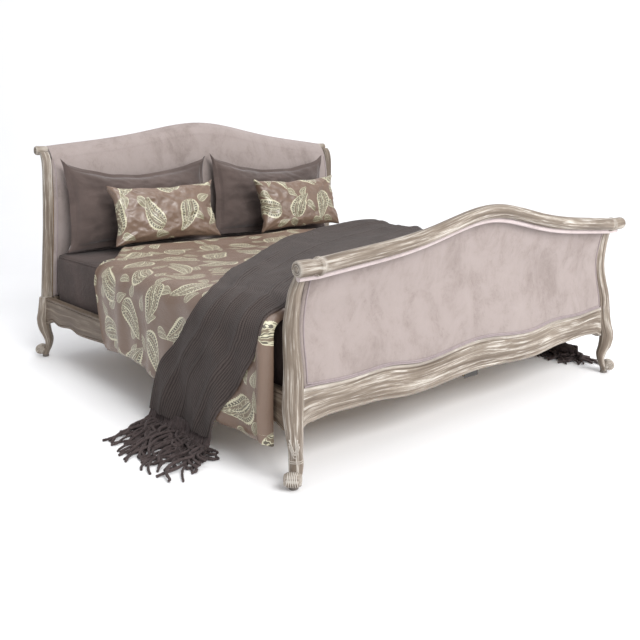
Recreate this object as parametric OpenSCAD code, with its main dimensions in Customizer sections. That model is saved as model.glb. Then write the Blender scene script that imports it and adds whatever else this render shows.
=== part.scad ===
// Sleigh bed with upholstered head and foot panels, cabriole legs, slatted base and bedding.
// Origin on the floor under the middle of the bed, +Z up, +X right, foot end towards -Y.

/* [Mattress] */
// Width of the mattress
mattress_w = 1930; // [1400:10:2000]
// Length of the mattress
mattress_l = 2030; // [1900:10:2100]
// Height of the mattress
mattress_h = 300; // [200:10:340]
// Height of the slat tops, where the mattress rests
deck_z = 270; // [250:5:290]

/* [Side rails] */
// Gap between the mattress and each side rail
rail_gap = 10; // [5:1:25]
// Thickness of a side rail
rail_t = 36; // [28:1:50]
// Height of the top edge of the side rails
rail_top = 332; // [320:1:360]
// Height of the lowest curve of the side rails
rail_low = 200; // [180:1:220]
// How deep a rail's end is housed in a leg
rail_seat = 14; // [8:1:20]
// Width of the bead along the top of a side rail
bead_w = 8; // [4:1:12]

/* [Footboard] */
// Height of the foot crest at its ends
foot_end_h = 797; // [760:1:840]
// Rise of the foot crest from its ends to its middle
foot_rise = 123; // [60:1:180]
// Gap between the mattress and the waist of the foot panel
foot_gap = 6; // [2:1:30]
// How far the foot panel sweeps out at its bottom
foot_low_sweep = 26; // [10:1:40]
// How far the foot panel sweeps out at its top
foot_high_sweep = 40; // [20:1:55]
// How far the foot roll's centre line stands out beyond the waist
foot_overhang = 77; // [66:1:90]
// Radius of the foot roll
foot_roll_r = 29; // [22:1:34]

/* [Headboard] */
// Height of the head crest at its ends
head_end_h = 1140; // [1080:1:1250]
// Rise of the head crest from its ends to its middle
head_rise = 133; // [60:1:180]
// How far the head panel leans towards the bed between its bottom and its waist
head_lean = 42; // [20:1:60]
// Gap between the mattress and the bottom of the head panel
head_gap = 18; // [6:1:40]
// How far the head roll's centre line stands back from the panel's bottom
head_overhang = 56; // [50:1:66]
// Radius of the head roll
head_roll_r = 24; // [18:1:30]

/* [Panels] */
// Thickness of the upholstered pad on each face of a panel
pad_t = 14; // [8:1:20]
// Thickness of the wooden core of a panel
core_t = 12; // [8:1:18]
// Radius of the padded welt under the foot roll
welt_r = 11; // [6:1:14]

/* [Legs] */
// Radius of the scrolled toe of a leg
toe_r = 27; // [20:1:30]
// Width of the scrolled toe
toe_w = 46; // [36:1:54]
// Radius of the round glide under a leg
glide_r = 17; // [12:1:20]
// Height of the round glide
glide_h = 14; // [8:1:18]

/* [Slatted base] */
// Width of a slat
slat_w = 90; // [60:1:110]
// Thickness of a slat
slat_t = 20; // [14:1:25]
// Width of the ledgers that carry the slats
ledger_w = 30; // [20:1:40]
// Height of the ledgers
ledger_h = 40; // [25:1:45]
// Width of the centre beam
beam_w = 50; // [40:1:80]
// Height of the centre beam
beam_h = 70; // [50:1:90]
// Radius of the threaded rod of a levelling foot
stem_r = 5; // [4:0.5:6]
// How far a levelling foot screws out
foot_travel = 12; // [5:1:15]

/* [Bedding] */
// Thickness of the duvet
duvet_t = 42; // [25:1:60]
// Thickness of the folded throw
throw_t = 12; // [6:1:18]
// Width of a sham
sham_w = 890; // [700:5:900]
// Height of a sham
sham_h = 500; // [400:5:560]
// Width of a scatter cushion
cushion_w = 630; // [450:5:700]
// Height of a scatter cushion
cushion_h = 330; // [250:5:400]

/* [Hidden] */

$fn = 48;
fit = 0.4;                                   // clearance between pieces that only touch
seam = 1;                                    // clearance between curved layers
inner_x = mattress_w / 2 + rail_gap;         // inside face of a side rail
outer_x = inner_x + rail_t;                  // outside face of a side rail
post_x = inner_x - 3;                        // nominal line of the posts
panel_x = post_x - 28;                       // half the width of the panels at the crest
mattress_top = deck_z + mattress_h;
head_y = mattress_l / 2 + 7;                 // mattress end at the headboard
foot_y = head_y - mattress_l;                // mattress end at the footboard
panel_t = 2 * pad_t + core_t;
foot_waist_y = foot_gap + panel_t - foot_y;  // front of the foot panel's waist, without its sign
foot_roll_y = foot_waist_y + foot_overhang;
head_face_y = head_y + head_gap;             // front of the head panel at its bottom
head_roll_y = head_face_y + head_overhang;
rail_end = foot_waist_y - 18 + rail_seat;    // where a side rail ends in the legs, at both ends
housing_l = 42;                              // length of the cut in a leg that takes the rail's end
rail_mid = inner_x + rail_t / 2;

// --- curves -------------------------------------------------------------------------------

function flip(list) = [for (i = [len(list) - 1:-1:0]) list[i]];
function steps(low, high, count) = [for (i = [0:count]) low + (high - low) * i / count];
function ease(t) = (1 - cos(180 * t)) / 2;

// Height at x of a curve that eases from each [x, height] pair to the next, alike on both sides.
function wave(pairs, x, i = 0) =
    i == len(pairs) - 2 || abs(x) <= pairs[i + 1][0]
        ? let (a = pairs[i], b = pairs[i + 1], t = min(1, max(0, (abs(x) - a[0]) / (b[0] - a[0]))))
          a[1] + (b[1] - a[1]) * ease(t)
        : wave(pairs, x, i + 1);

// Camel-back crest, 1 in the middle and 0 at u = 1.
function camel(u, hump, power) =
    0.6 * exp(-pow(u / hump, 2)) + 0.4 * (1 - pow(min(abs(u), 1), power));

// Smooth curve through rows of numbers, with a few steps between each row and the next.
function smooth_row(r, i, t) =
    let (n = len(r) - 1, a = r[max(i - 1, 0)], b = r[i], c = r[min(i + 1, n)], d = r[min(i + 2, n)])
    0.5 * (2 * b + (c - a) * t + (2 * a - 5 * b + 4 * c - d) * t * t
        + (3 * b - 3 * c + d - a) * t * t * t);
function smooth(rows, count) = concat(
    [for (i = [0:len(rows) - 2], k = [0:count - 1]) smooth_row(rows, i, k / count)],
    [rows[len(rows) - 1]]);

// Rounded square outline with half sizes a and b.
function squircle(a, b, power, sides) = [for (i = [0:sides - 1])
    let (c = cos(360 * (i + 0.5) / sides), s = sin(360 * (i + 0.5) / sides))
    [a * sign(c) * pow(abs(c), 2 / power), b * sign(s) * pow(abs(s), 2 / power)]];

// Closed solid through rings that all have the same number of points. Where an end isn't flat,
// it is closed by strips from each point to the one opposite it.
module skin(rings, flat_ends = true) {
    n = len(rings[0]);
    last = (len(rings) - 1) * n;
    sides = [for (i = [0:len(rings) - 2], j = [0:n - 1])
        let (a = i * n + j, b = i * n + (j + 1) % n)
        each [[a, b, b + n], [a, b + n, a + n]]];
    caps = flat_ends ? [[for (j = [0:n - 1]) j]]
        : [for (j = [0:n / 2 - 2]) [j, j + 1, n - 2 - j, n - 1 - j]];
    low_end = [for (cap = caps) flip(cap)];
    high_end = [for (cap = caps) [for (j = cap) last + j]];
    polyhedron([for (ring = rings, p = ring) p], concat(sides, low_end, high_end), convexity = 6);
}

// The right-hand piece as drawn, or its mirror image on the left.
module on_side(side) {
    if (side > 0) children();
    else mirror([1, 0, 0]) children();
}

// The foot-end piece as drawn, or its mirror image at the head end.
module at_end(end) {
    if (end < 0) children();
    else mirror([0, 1, 0]) children();
}

// --- head and foot outlines ---------------------------------------------------------------

function foot_crest(x) = foot_end_h + foot_rise * camel(x / panel_x, 0.36, 1.6);
function head_crest(x) = head_end_h + head_rise * camel(x / panel_x, 0.42, 2.2);

// Shaped edges: height above or below a level, at shares of the way out to the leg.
function foot_apron_top(x) = rail_top
    + wave([[0, 16], [0.37, -12], [0.6, 8], [0.79, 2], [1, 11]], x / panel_x);
function foot_apron_low(x) = rail_low
    + wave([[0, 14], [0.39, -4], [0.66, 16], [0.85, 20], [0.95, 12], [1, -8]], x / panel_x);
function side_low(y) = rail_low
    + wave([[0, 8], [0.29, 14], [0.61, 0], [0.7, 13], [0.84, 0], [0.92, 12], [1, -12]], y / rail_end);

// Front face of the foot panel, t from 0 at the apron to 1 under the roll.
foot_waist_t = 0.54;
function foot_face(t) = -foot_waist_y - (t < foot_waist_t
    ? foot_low_sweep * (1 - ease(t / foot_waist_t))
    : foot_high_sweep * pow((t - foot_waist_t) / (1 - foot_waist_t), 1.6));
foot_neck = foot_roll_r * 1.8;               // from the crest down to the panel's top edge
function foot_z(x, t) = foot_apron_top(x) + seam + (foot_crest(x) - foot_neck - foot_apron_top(x) - 2 * seam) * t;

// Front face of the head panel, t from 0 at the bottom rail to 1 where it turns over the roll.
head_waist_t = 0.8;
head_turn = 26;
function head_face(t) = head_face_y - head_lean * ease(min(1, t / head_waist_t))
    + (t > head_waist_t ? head_turn * pow((t - head_waist_t) / (1 - head_waist_t), 2) : 0);
head_neck = head_roll_r * 3;
function head_z(x, t) = rail_top + seam + (head_crest(x) - head_neck - rail_top - 2 * seam) * t;

PANEL_STEPS = steps(0, 1, 7);
CREST_STEPS = 20;

// How far out a panel or apron reaches at a height, up to the inner edge of its upright.
function edge_table(rings) = [for (ring = rings) [ring[0][2], min([for (p = ring) p[0]]) - fit]];
function spread(x, z, edges) = x / panel_x * lookup(z, edges);

// One layer of the foot panel, between two depths behind its front face.
module foot_layer(near, far) {
    edges = edge_table(POST_RINGS);
    skin([for (x = steps(-panel_x, panel_x, CREST_STEPS)) concat(
        [for (t = PANEL_STEPS) [spread(x, foot_z(x, t), edges), foot_face(t) + near, foot_z(x, t)]],
        [for (t = flip(PANEL_STEPS)) [spread(x, foot_z(x, t), edges), foot_face(t) + far, foot_z(x, t)]])],
        flat_ends = false);
}

// One layer of the head panel, between two depths behind its front face.
module head_layer(near, far) {
    edges = edge_table(STILE_RINGS);
    skin([for (x = steps(-panel_x, panel_x, CREST_STEPS)) concat(
        [for (t = PANEL_STEPS) [spread(x, head_z(x, t), edges), head_face(t) + near, head_z(x, t)]],
        [for (t = flip(PANEL_STEPS)) [spread(x, head_z(x, t), edges), head_face(t) + far, head_z(x, t)]])],
        flat_ends = false);
}

// --- wooden frame -------------------------------------------------------------------------

oak = "#a8957c";
velvet = "#b8aba8";
steel = "#8c8c8c";

// Rows of a corner post from its top to the sole of its leg: height, then the centre's
// distance out from the post line, its distance beyond the waist, and the half sizes of the
// section along and across the diagonal. The heights between stations are shares of the post
// above the rail, and of the leg below it.
function post_z(t) = rail_top + (foot_end_h - 46 - rail_top) * t;
function leg_z(t) = glide_h + (rail_top - glide_h) * t;
POST_ROWS = [
    [post_z(1), -6, 36, 22, 19], [post_z(0.847), 2, 10, 28, 23], [post_z(0.735), 5, 0, 28, 24],
    [post_z(0.544), 9, -9, 28, 27], [post_z(0.353), 14, 0, 29, 29], [post_z(0.162), 19, 15, 31, 33]];
LEG_ROWS = [
    [leg_z(0.9), 26, 19, 34, 35],
    [leg_z(0.742), 31, 26, 34, 34], [leg_z(0.6), 36, 37, 33, 31], [leg_z(0.428), 29, 35, 30, 26],
    [leg_z(0.296), 19, 24, 24, 25], [leg_z(0.208), 16, 22, 18, 26], [leg_z(0.113), 22, 27, 17, 24],
    [leg_z(0.05), 32, 32, 18, 22], [leg_z(0), 35, 32, 15, 20]];
HEAD_LEG_ROWS = concat([[rail_top - fit, 24, 16, 33, 34]], LEG_ROWS);

function post_ring(row) = [for (p = squircle(row[3], row[4], 2.6, 14))
    [post_x + row[1] + (p[0] + p[1]) / sqrt(2),
     -foot_waist_y - row[2] - (p[0] - p[1]) / sqrt(2), row[0]]];
POST_RINGS = [for (row = smooth(concat(POST_ROWS, LEG_ROWS), 2)) post_ring(row)];
HEAD_LEG_RINGS = [for (row = smooth(HEAD_LEG_ROWS, 2)) post_ring(row)];
toe_out = 51;

// Scrolled toe: a drum across the diagonal with a smaller volute proud of each end.
module toe() {
    translate([post_x + toe_out, -foot_waist_y - toe_out + 4, glide_h + toe_r])
        rotate([0, 90, 45]) {
            cylinder(r = toe_r, h = toe_w, center = true);
            cylinder(r = toe_r * 0.8, h = toe_w + 18, center = true);
        }
}

// Housing for a rail's end, its receiver plate and the two hooks that pass through the plate.
module rail_housing() {
    translate([inner_x - fit, -rail_end - fit, rail_low - 16])
        cube([rail_t + 2 * fit, housing_l, rail_top - rail_low + 16 + fit]);
    translate([rail_mid - plate_w / 2 - fit, -hook_y - plate_t - 2 * fit, hook_z - fit])
        cube([plate_w + 2 * fit, plate_t * 4, hook_h + 2 * fit]);
    for (z = HOOK_LEVELS)
        translate([rail_mid - plate_t, -hook_y - hook_l - 2, z - 8])
            cube([plate_t * 2, hook_l, hook_w + 10]);
}

module leg(rings) {
    difference() {
        union() {
            skin(rings);
            toe();
        }
        rail_housing();
    }
}

module footboard_post(side) {
    color(oak) on_side(side) difference() {
        leg(POST_RINGS);
        translate([0, -foot_roll_y, foot_end_h - foot_roll_r]) rotate([0, 90, 0])
            cylinder(r = foot_roll_r + 4 + fit, h = outer_x * 2);
    }
}

module head_leg(side) {
    color(oak) on_side(side) at_end(1) leg(HEAD_LEG_RINGS);
}

module glide(side, end) {
    color("#6f6258") on_side(side) at_end(end)
        translate([post_x + 35, -foot_waist_y - 32, 0])
            cylinder(r = glide_r, h = glide_h - fit);
}

// Comma section of the foot roll: a round nose in front and a tail back to the panel.
function foot_roll_ring(x) =
    let (z = foot_crest(x) - foot_roll_r, r = foot_roll_r, back = foot_face(1) + panel_t)
    concat([for (a = steps(-120, 120, 10)) [x, -foot_roll_y - r * cos(a), z + r * sin(a)]],
        [[x, back - 6, z - r * 0.35], [x, back, z - r * 0.8], [x, foot_face(1), z - r * 0.8]]);

module footboard_top_rail() {
    color(oak) skin([for (x = steps(-panel_x + 22, panel_x - 22, CREST_STEPS)) foot_roll_ring(x)]);
}

// Turned end of the foot roll: a collar, a cove, a drum and a small boss on its end.
module footboard_scroll(side) {
    r = foot_roll_r;
    start = panel_x - 22 + fit;
    color(oak) on_side(side) translate([start, -foot_roll_y, foot_end_h - r])
        rotate([90, 0, 90]) rotate_extrude()
            polygon([[0, 0], [r, 0], [r + 4, 6], [r + 4, 18], [r, 24], [r - 3, 30], [r - 2, 38],
                [r, 46], [r, 98], [r - 4, 104], [r - 12, 104], [r - 12, 100], [9, 100], [9, 106], [0, 108]]);
}

// Board between two legs, drawn through the points of its section at each place across.
function face(y, from, to) = [for (z = steps(from, to, 5)) [y, z]];
module apron(section, rings) {
    edges = [for (row = edge_table(rings)) row - [0, fit]];
    skin([for (x = steps(-panel_x, panel_x, CREST_STEPS))
        [for (p = section(x)) [spread(x, p[1], edges), p[0], p[1]]]], flat_ends = false);
}

module footboard_bottom_rail() {
    front = foot_face(0) - 2;
    back = front + panel_t + 2;
    color(oak) apron(function (x) let (top = foot_apron_top(x), low = foot_apron_low(x)) concat(
        [[front + 8, low]], face(front, low + 10, top - 8), [[front + 6, top], [back - 4, top]],
        face(back, top - 4, low + 4), [[back - 4, low]]), POST_RINGS);
}

module footboard_core() {
    color("#8a6f50") foot_layer(pad_t + seam, pad_t + core_t - seam);
}

module footboard_pad_front() {
    color(velvet) foot_layer(0, pad_t);
}

module footboard_pad_back() {
    color(velvet) foot_layer(pad_t + core_t, panel_t);
}

module footboard_welt() {
    clear = welt_r + foot_roll_r + fit;
    color("#c3b6b2") skin([for (x = steps(-panel_x + 24, panel_x - 24, CREST_STEPS))
        [for (i = [0:7]) [x, -foot_roll_y + clear * cos(68) - welt_r * cos(45 * i),
            foot_crest(x) - foot_roll_r - clear * sin(68) + welt_r * sin(45 * i)]]]);
}

// Rows of a head stile: height, the centre's distance out from the post line and its depth
// behind the panel, and its half sizes. The heights between are shares of the stile.
scroll_z = head_end_h - head_roll_r;
function stile_z(t) = rail_top + (scroll_z - rail_top) * t;
STILE_ROWS = [[stile_z(0), 22, 6, 26, 24], [stile_z(0.214), 14, 0, 24, 23],
    [stile_z(0.495), 8, -22, 23, 22], [stile_z(0.783), 5, -36, 22, 22],
    [stile_z(0.898), 4, -36, 22, 21], [stile_z(0.962), 4, -22, 22, 20], [stile_z(0.99), 4, -4, 22, 16]];
STILE_RINGS = [for (row = smooth(STILE_ROWS, 2)) [for (p = flip(squircle(row[3], row[4], 4, 12)))
    [post_x + row[1] + p[0], head_face_y + panel_t / 2 + row[2] + p[1], row[0]]]];

module headboard_stile(side) {
    color(oak) on_side(side) difference() {
        skin(STILE_RINGS);
        translate([0, head_roll_y, scroll_z]) rotate([0, 90, 0])
            cylinder(r = head_roll_r + fit, h = outer_x * 2);
    }
}

module headboard_scroll(side) {
    r = head_roll_r;
    color(oak) on_side(side) translate([panel_x + 2, head_roll_y, head_end_h - r])
        rotate([90, 0, 90]) rotate_extrude()
            polygon([[0, 0], [r, 0], [r, 52], [r - 3, 60], [r - 8, 60], [r - 8, 56], [8, 56], [8, 61], [0, 62]]);
}

// Section of the upholstered head roll: it turns back from the panel and over the roll.
function head_roll_ring(x) =
    let (r = head_roll_r, z = head_crest(x) - r, base = head_crest(x) - head_neck, y = head_face(1))
    concat([[x, y, base + fit], [x, y + 14, base + 26], [x, y + 38, base + 50]],
        [for (a = steps(100, -110, 8)) [x, head_roll_y + r * cos(a), z + r * sin(a)]],
        [[x, y + panel_t + 12, base + 8], [x, y + panel_t, base + fit]]);

module headboard_top_roll() {
    color(velvet) skin([for (x = steps(-panel_x, panel_x, CREST_STEPS)) head_roll_ring(x)]);
}

module headboard_bottom_rail() {
    front = head_face(0);
    back = front + panel_t;
    top = rail_top;
    color(oak) apron(function (x) let (low = foot_apron_low(x)) concat(
        [[front + 4, low]], face(front, low + 4, top - 4), [[front + 4, top], [back - 6, top]],
        face(back, top - 8, low + 10), [[back - 8, low]]), HEAD_LEG_RINGS);
}

module headboard_core() {
    color("#8a6f50") head_layer(pad_t + seam, pad_t + core_t - seam);
}

module headboard_pad_front() {
    color(velvet) head_layer(0, pad_t);
}

module headboard_pad_back() {
    color(velvet) head_layer(pad_t + core_t, panel_t);
}

// --- side rails and slatted base ----------------------------------------------------------

plate_t = 3;
plate_w = 22;
hook_y = rail_end + plate_t;                 // outer face of the plate on a rail's end
hook_l = 14;                                 // how far a hook stands out of its plate
hook_w = 16;
hook_z = rail_low + 16;
hook_h = rail_top - rail_low - 22;           // height of the plates
HOOK_LEVELS = [hook_z + 16, hook_z + hook_h - 30];

module side_rail(side) {
    top = rail_top;
    groove = top - bead_w - 5;
    color("#8f7a64") on_side(side) skin([for (y = steps(-rail_end, rail_end, 24))
        let (low = side_low(y))
        [[inner_x, y, low + 2], [inner_x + 3, y, low], [outer_x - 6, y, low], [outer_x - 1, y, low + 6],
         [outer_x, y, groove - 20], [outer_x - 3, y, groove], [outer_x, y, groove + 5],
         [outer_x - 1, y, top - 2], [outer_x - 5, y, top], [inner_x + 2, y, top], [inner_x, y, top - 2]]]);
}

ledger_z = deck_z - slat_t - fit;            // top of the ledgers and of the centre beam

module slat_ledger(side) {
    color("#b99a6b") on_side(side) difference() {
        translate([inner_x - ledger_w - fit, foot_y + slat_inset - 4, ledger_z - ledger_h])
            cube([ledger_w, mattress_l - 2 * slat_inset + 8, ledger_h]);
        for (i = [0:SLAT_COUNT - 1]) translate([screw_x, slat_y(i), ledger_z - screw_bite - 1])
            cylinder(r = screw_r, h = screw_bite + 2);
    }
}

SLAT_COUNT = 11;
slat_inset = 56;                             // from the end of the mattress to the first slat
slat_pitch = (mattress_l - slat_w - 2 * slat_inset) / (SLAT_COUNT - 1);
function slat_y(i) = foot_y + slat_inset + slat_w / 2 + i * slat_pitch;

module slat(i) {
    length = 2 * (inner_x - 3);
    color("#c9ab7c") difference() {
        translate([-length / 2, slat_y(i) - slat_w / 2, deck_z - slat_t])
            cube([length, slat_w, slat_t - fit]);
        for (side = [-1, 1]) translate([side * screw_x, slat_y(i), deck_z - slat_t - 1])
            cylinder(r = screw_r, h = slat_t + 2);
    }
}

beam_low = ledger_z - beam_h;
beam_foot = foot_face(0) + panel_t + 1;
beam_head = head_face(0) - 1;

module centre_beam() {
    color("#c9ab7c") difference() {
        translate([-beam_w / 2, beam_foot + plate_t, beam_low])
            cube([beam_w, beam_head - beam_foot - 2 * plate_t, beam_h]);
        for (i = [0:2]) translate([0, centre_leg_y(i), beam_low - 1])
            cylinder(r = leg_stud_r, h = 31);
    }
}

// U-shaped steel seat at each end of the centre beam.
module beam_brackets() {
    color(steel) for (end = [-1, 1])
        translate([0, end < 0 ? beam_foot : beam_head - plate_t, 0]) {
            translate([-beam_w / 2 - 20, 0, beam_low - plate_t]) cube([beam_w + 40, plate_t - fit, beam_h]);
            translate([-beam_w / 2, end < 0 ? 0 : -40 + plate_t, beam_low - plate_t - fit])
                cube([beam_w, 40 - fit, plate_t]);
        }
}

leg_tube_r = 19;
leg_stud_r = 4;
foot_plate_r = 24;
foot_plate_h = 9;
function centre_leg_y(i) = (i - 1) * mattress_l * 0.3;

// Round steel leg with a stud up into the beam and a threaded socket in its lower end.
module centre_leg(i) {
    low = foot_plate_h + 6;
    color("#2c2c2e") translate([0, centre_leg_y(i), 0]) difference() {
        union() {
            translate([0, 0, low]) cylinder(r = leg_tube_r, h = beam_low - fit - low);
            translate([0, 0, beam_low - 7]) cylinder(r = leg_tube_r + 9, h = 7 - fit);
            translate([0, 0, beam_low - 2]) cylinder(r = leg_stud_r - 0.1, h = 30);
        }
        translate([0, 0, low - 1]) cylinder(r = stem_r + 0.1, h = 66);
    }
}

// Levelling foot: round plate with a threaded rod that screws into the leg.
module levelling_foot(i) {
    color("#3a3a3a") translate([0, centre_leg_y(i), 0]) {
        cylinder(r1 = foot_plate_r, r2 = foot_plate_r - 4, h = foot_plate_h);
        cylinder(r = stem_r, h = foot_plate_h + 6 + 54);
    }
}

screw_r = 2;
screw_bite = 10;                             // depth of a screw in the ledger
screw_x = inner_x - ledger_w / 2 - fit;

// Countersunk wood screws that hold each slat to the ledgers.
module wood_screws() {
    color(steel) for (i = [0:SLAT_COUNT - 1], side = [-1, 1])
        translate([side * screw_x, slat_y(i), deck_z - fit - 1 - slat_t - screw_bite])
            cylinder(r = screw_r - 0.1, h = slat_t + screw_bite);
}

// Steel plate on each end of a side rail, with two hooks that stand out of it.
module rail_hook_plates() {
    color(steel) for (side = [-1, 1], end = [-1, 1]) on_side(side) at_end(end) {
        translate([rail_mid - plate_w / 2, -hook_y, hook_z]) cube([plate_w, plate_t - fit, hook_h]);
        for (z = HOOK_LEVELS)
            translate([rail_mid - plate_t / 2, -hook_y - hook_l, z]) cube([plate_t, hook_l + 1, hook_w]);
    }
}

// Slotted steel plate let into each leg, which the hooks drop into.
module rail_receiver_plates() {
    color("#777777") for (side = [-1, 1], end = [-1, 1]) on_side(side) at_end(end)
        difference() {
            translate([rail_mid - plate_w / 2, -hook_y - plate_t - fit, hook_z])
                cube([plate_w, plate_t, hook_h]);
            for (z = HOOK_LEVELS)
                translate([rail_mid - plate_t, -hook_y - plate_t * 2, z - 6])
                    cube([plate_t * 2, plate_t * 3, hook_w + 8]);
        }
}

// --- bedding ------------------------------------------------------------------------------

// Bands round the mattress edge: height from its face, and how far in the band lies.
MATTRESS_EDGE = [[0, 24], [4, 12], [12, 4], [24, 0]];
mattress_r = 35;
function mattress_ring(z, inset) = flip([for (quarter = [0:3], k = [0:4])
    let (a = 90 * quarter + 22.5 * k, r = mattress_r - inset)
    [sign(cos(90 * quarter + 45)) * (mattress_w / 2 - mattress_r) + r * cos(a),
     (foot_y + head_y) / 2 + sign(sin(90 * quarter + 45)) * (mattress_l / 2 - mattress_r) + r * sin(a), z]]);

module mattress() {
    color("#4b403d") skin(concat(
        [for (e = MATTRESS_EDGE) mattress_ring(deck_z + e[0], e[1])],
        [for (e = flip(MATTRESS_EDGE)) mattress_ring(mattress_top - e[0], e[1])]));
}

duvet_in = outer_x + 5;                      // inside of the duvet's hanging sides
duvet_out = duvet_in + duvet_t;
duvet_top = mattress_top + duvet_t;
duvet_head = head_y - 292;                   // head end of the duvet on top of the mattress
duvet_turn = duvet_head - 450;               // head end of the hanging left side
hem_low = 122;                               // lowest point of the hem above the floor

// Height of the left hem, which dips towards the foot end.
function duvet_hem(y) = hem_low + lookup(duvet_turn - y,
    [[-30, mattress_top - 112 - hem_low], [0, 83], [203, 100], [380, 78], [597, 47], [1135, 0], [1280, 8]]);

// Left edge of the duvet: it hangs down the side, then runs back across the mattress top.
function duvet_left(y) = y <= duvet_turn + 30
    ? [[-duvet_out + 20, mattress_top + 5], [-duvet_out, mattress_top - 100], [-duvet_out, duvet_hem(y)],
       [-duvet_in, duvet_hem(y)], [-duvet_in, mattress_top - 110], [-mattress_w / 2 - 3, mattress_top + fit]]
    : let (x = -mattress_w / 2 + 270 * (y - duvet_turn - 65) / (duvet_head - duvet_turn - 65), z = mattress_top + fit)
      [[x, z + 34], [x - 8, z + 28], [x - 14, z + 20], [x - 14, z + 12], [x - 8, z + 4], [x, z]];
function duvet_right() = flip([for (p = duvet_left(duvet_turn - 597)) [-p[0], max(p[1], hem_low + 108)]]);

module duvet() {
    rows = concat(steps(foot_y + 14, duvet_turn, 8), [duvet_turn + 30, duvet_turn + 65, duvet_head - 230, duvet_head]);
    color("#7a6152") skin([for (y = rows) [for (p = concat(duvet_right(),
        [[mattress_w / 2 - 40, duvet_top], [-mattress_w / 2 + 300, duvet_top]], duvet_left(y)))
        [p[0], y, p[1]]]]);
}

// Folded throw: rows of its head-side edge, its foot-side edge and the way it faces. An edge
// is given as shares of the way to the throw's hanging side, the mattress end and its top.
throw_x = duvet_out + 4;
throw_z = duvet_top + 3;
throw_low = 72;                              // where the knitted part ends above the floor
throw_bend = 1 - 22 / throw_x;               // shares at which it bends over the duvet's edge
throw_brow = 1 - 102 / throw_x;
throw_sag = 1 - 33 / (throw_z - throw_low);
THROW_ROWS = [
    [[-1, -0.207, 0], [-1, -0.65, 0], [-1, 0, 0]],
    [[-1, -0.286, 0.365], [-1, -0.788, 0.365], [-1, 0, 0]],
    [[-1, -0.483, 0.733], [-1, -0.946, 0.733], [-1, 0, 0]],
    [[-throw_bend, -0.571, throw_sag], [-throw_bend, -0.97, throw_sag], [-0.9, 0, 0.5]],
    [[-throw_brow, -0.532, 1], [-throw_brow, -0.961, 1], [-0.1, 0, 1]],
    [[-0.669, -0.277, 1], [-0.724, -0.805, 1], [0, 0, 1]],
    [[-0.106, 0.197, 1], [-0.151, -0.424, 1], [0, 0, 1]],
    [[0.377, 0.493, 1], [0.424, -0.118, 1], [0, 0, 1]],
    [[throw_brow, 0.581, 1], [throw_brow, 0.059, 1], [0.1, 0, 1]],
    [[throw_bend, 0.552, throw_sag], [throw_bend, 0.039, throw_sag], [0.9, 0, 0.5]],
    [[1, 0.473, 0.733], [1, -0.03, 0.733], [1, 0, 0]],
    [[1, 0.099, 0.346], [1, -0.414, 0.346], [1, 0, 0]],
    [[1, -0.433, 0], [1, -0.887, 0], [1, 0, 0]]];
function throw_spot(p) = [p[0] * throw_x, p[1] * mattress_l / 2, throw_low + p[2] * (throw_z - throw_low)];

module throw_blanket() {
    color("#4e4544") skin([for (row = THROW_ROWS) let (a = throw_spot(row[0]), b = throw_spot(row[1]))
        [a, b, b + throw_t * row[2], a + throw_t * row[2]]]);
}

// Heap of fringe on the floor: a mound between two lengthwise limits.
module fringe_heap(x_low, x_high, y_low, y_high, height) {
    color("#453b3a") skin([for (t = steps(0.04, 0.96, 8))
        let (lift = pow(sin(180 * t), 0.5), x = (x_low + x_high) / 2, half = (x_high - x_low) / 2)
        [for (a = steps(0, 180, 8))
            [x + half * (0.75 + 0.25 * lift) * cos(a), y_low + (y_high - y_low) * t, height * lift * sin(a)]]]);
}

module throw_fringe_left() {
    fringe_heap(-throw_x - 308, -throw_x + 87, -0.828 * mattress_l / 2, -0.197 * mattress_l / 2, throw_low - 6);
}

module throw_fringe_right() {
    fringe_heap(throw_x - 132, throw_x + 148, -0.995 * mattress_l / 2, -0.4335 * mattress_l / 2, throw_low - 10);
}

// Pillow standing on edge: pinched sides and a crowned front and back.
module pillow(width, height, depth, pinch) {
    thin = 2;
    function half(u, v) = thin + (depth / 2 - thin) * pow(max(0, (1 - u * u) * (1 - v * v)), 0.45);
    function spot(u, v, face) = [width / 2 * u * (1 - pinch * (1 - v * v)),
        face * half(u, v), height / 2 * v * (1 - pinch * (1 - u * u))];
    rows = [for (i = [0:10]) -cos(18 * i)];
    skin([for (u = rows) concat([for (v = rows) spot(u, v, -1)], [for (v = flip(rows)) spot(u, v, 1)])]);
}

sham_depth = 150;
cushion_depth = 130;
sham_y = head_face_y - head_lean - sham_depth / 2 - 5;

module sham(side) {
    color("#554b49") translate([side * (sham_w / 2 + 7) - 43, sham_y, mattress_top + sham_h / 2 + 6])
        rotate([-6, 0, 0]) pillow(sham_w, sham_h, sham_depth, 0.05);
}

module cushion(side) {
    color("#7d6454") translate([side * (sham_w / 2 + 15), sham_y - 213, duvet_top + cushion_h / 2 + 6])
        rotate([-14, 0, 2 * side]) pillow(cushion_w, cushion_h, cushion_depth, 0.06);
}

head_leg(-1);  // head_leg_left
head_leg(1);  // head_leg_right
headboard_stile(-1);  // headboard_stile_left
headboard_stile(1);  // headboard_stile_right
headboard_scroll(-1);  // headboard_scroll_left
headboard_scroll(1);  // headboard_scroll_right
headboard_top_roll();
headboard_bottom_rail();
headboard_core();
headboard_pad_front();
headboard_pad_back();
footboard_post(-1);  // footboard_post_left
footboard_post(1);  // footboard_post_right
footboard_top_rail();
footboard_scroll(-1);  // footboard_scroll_left
footboard_scroll(1);  // footboard_scroll_right
footboard_bottom_rail();
footboard_core();
footboard_pad_front();
footboard_pad_back();
footboard_welt();
glide(-1, -1);  // glide_foot_left
glide(1, -1);  // glide_foot_right
glide(-1, 1);  // glide_head_left
glide(1, 1);  // glide_head_right
side_rail(-1);  // side_rail_left
side_rail(1);  // side_rail_right
slat_ledger(-1);  // slat_ledger_left
slat_ledger(1);  // slat_ledger_right
rail_hook_plates();
rail_receiver_plates();
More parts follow.
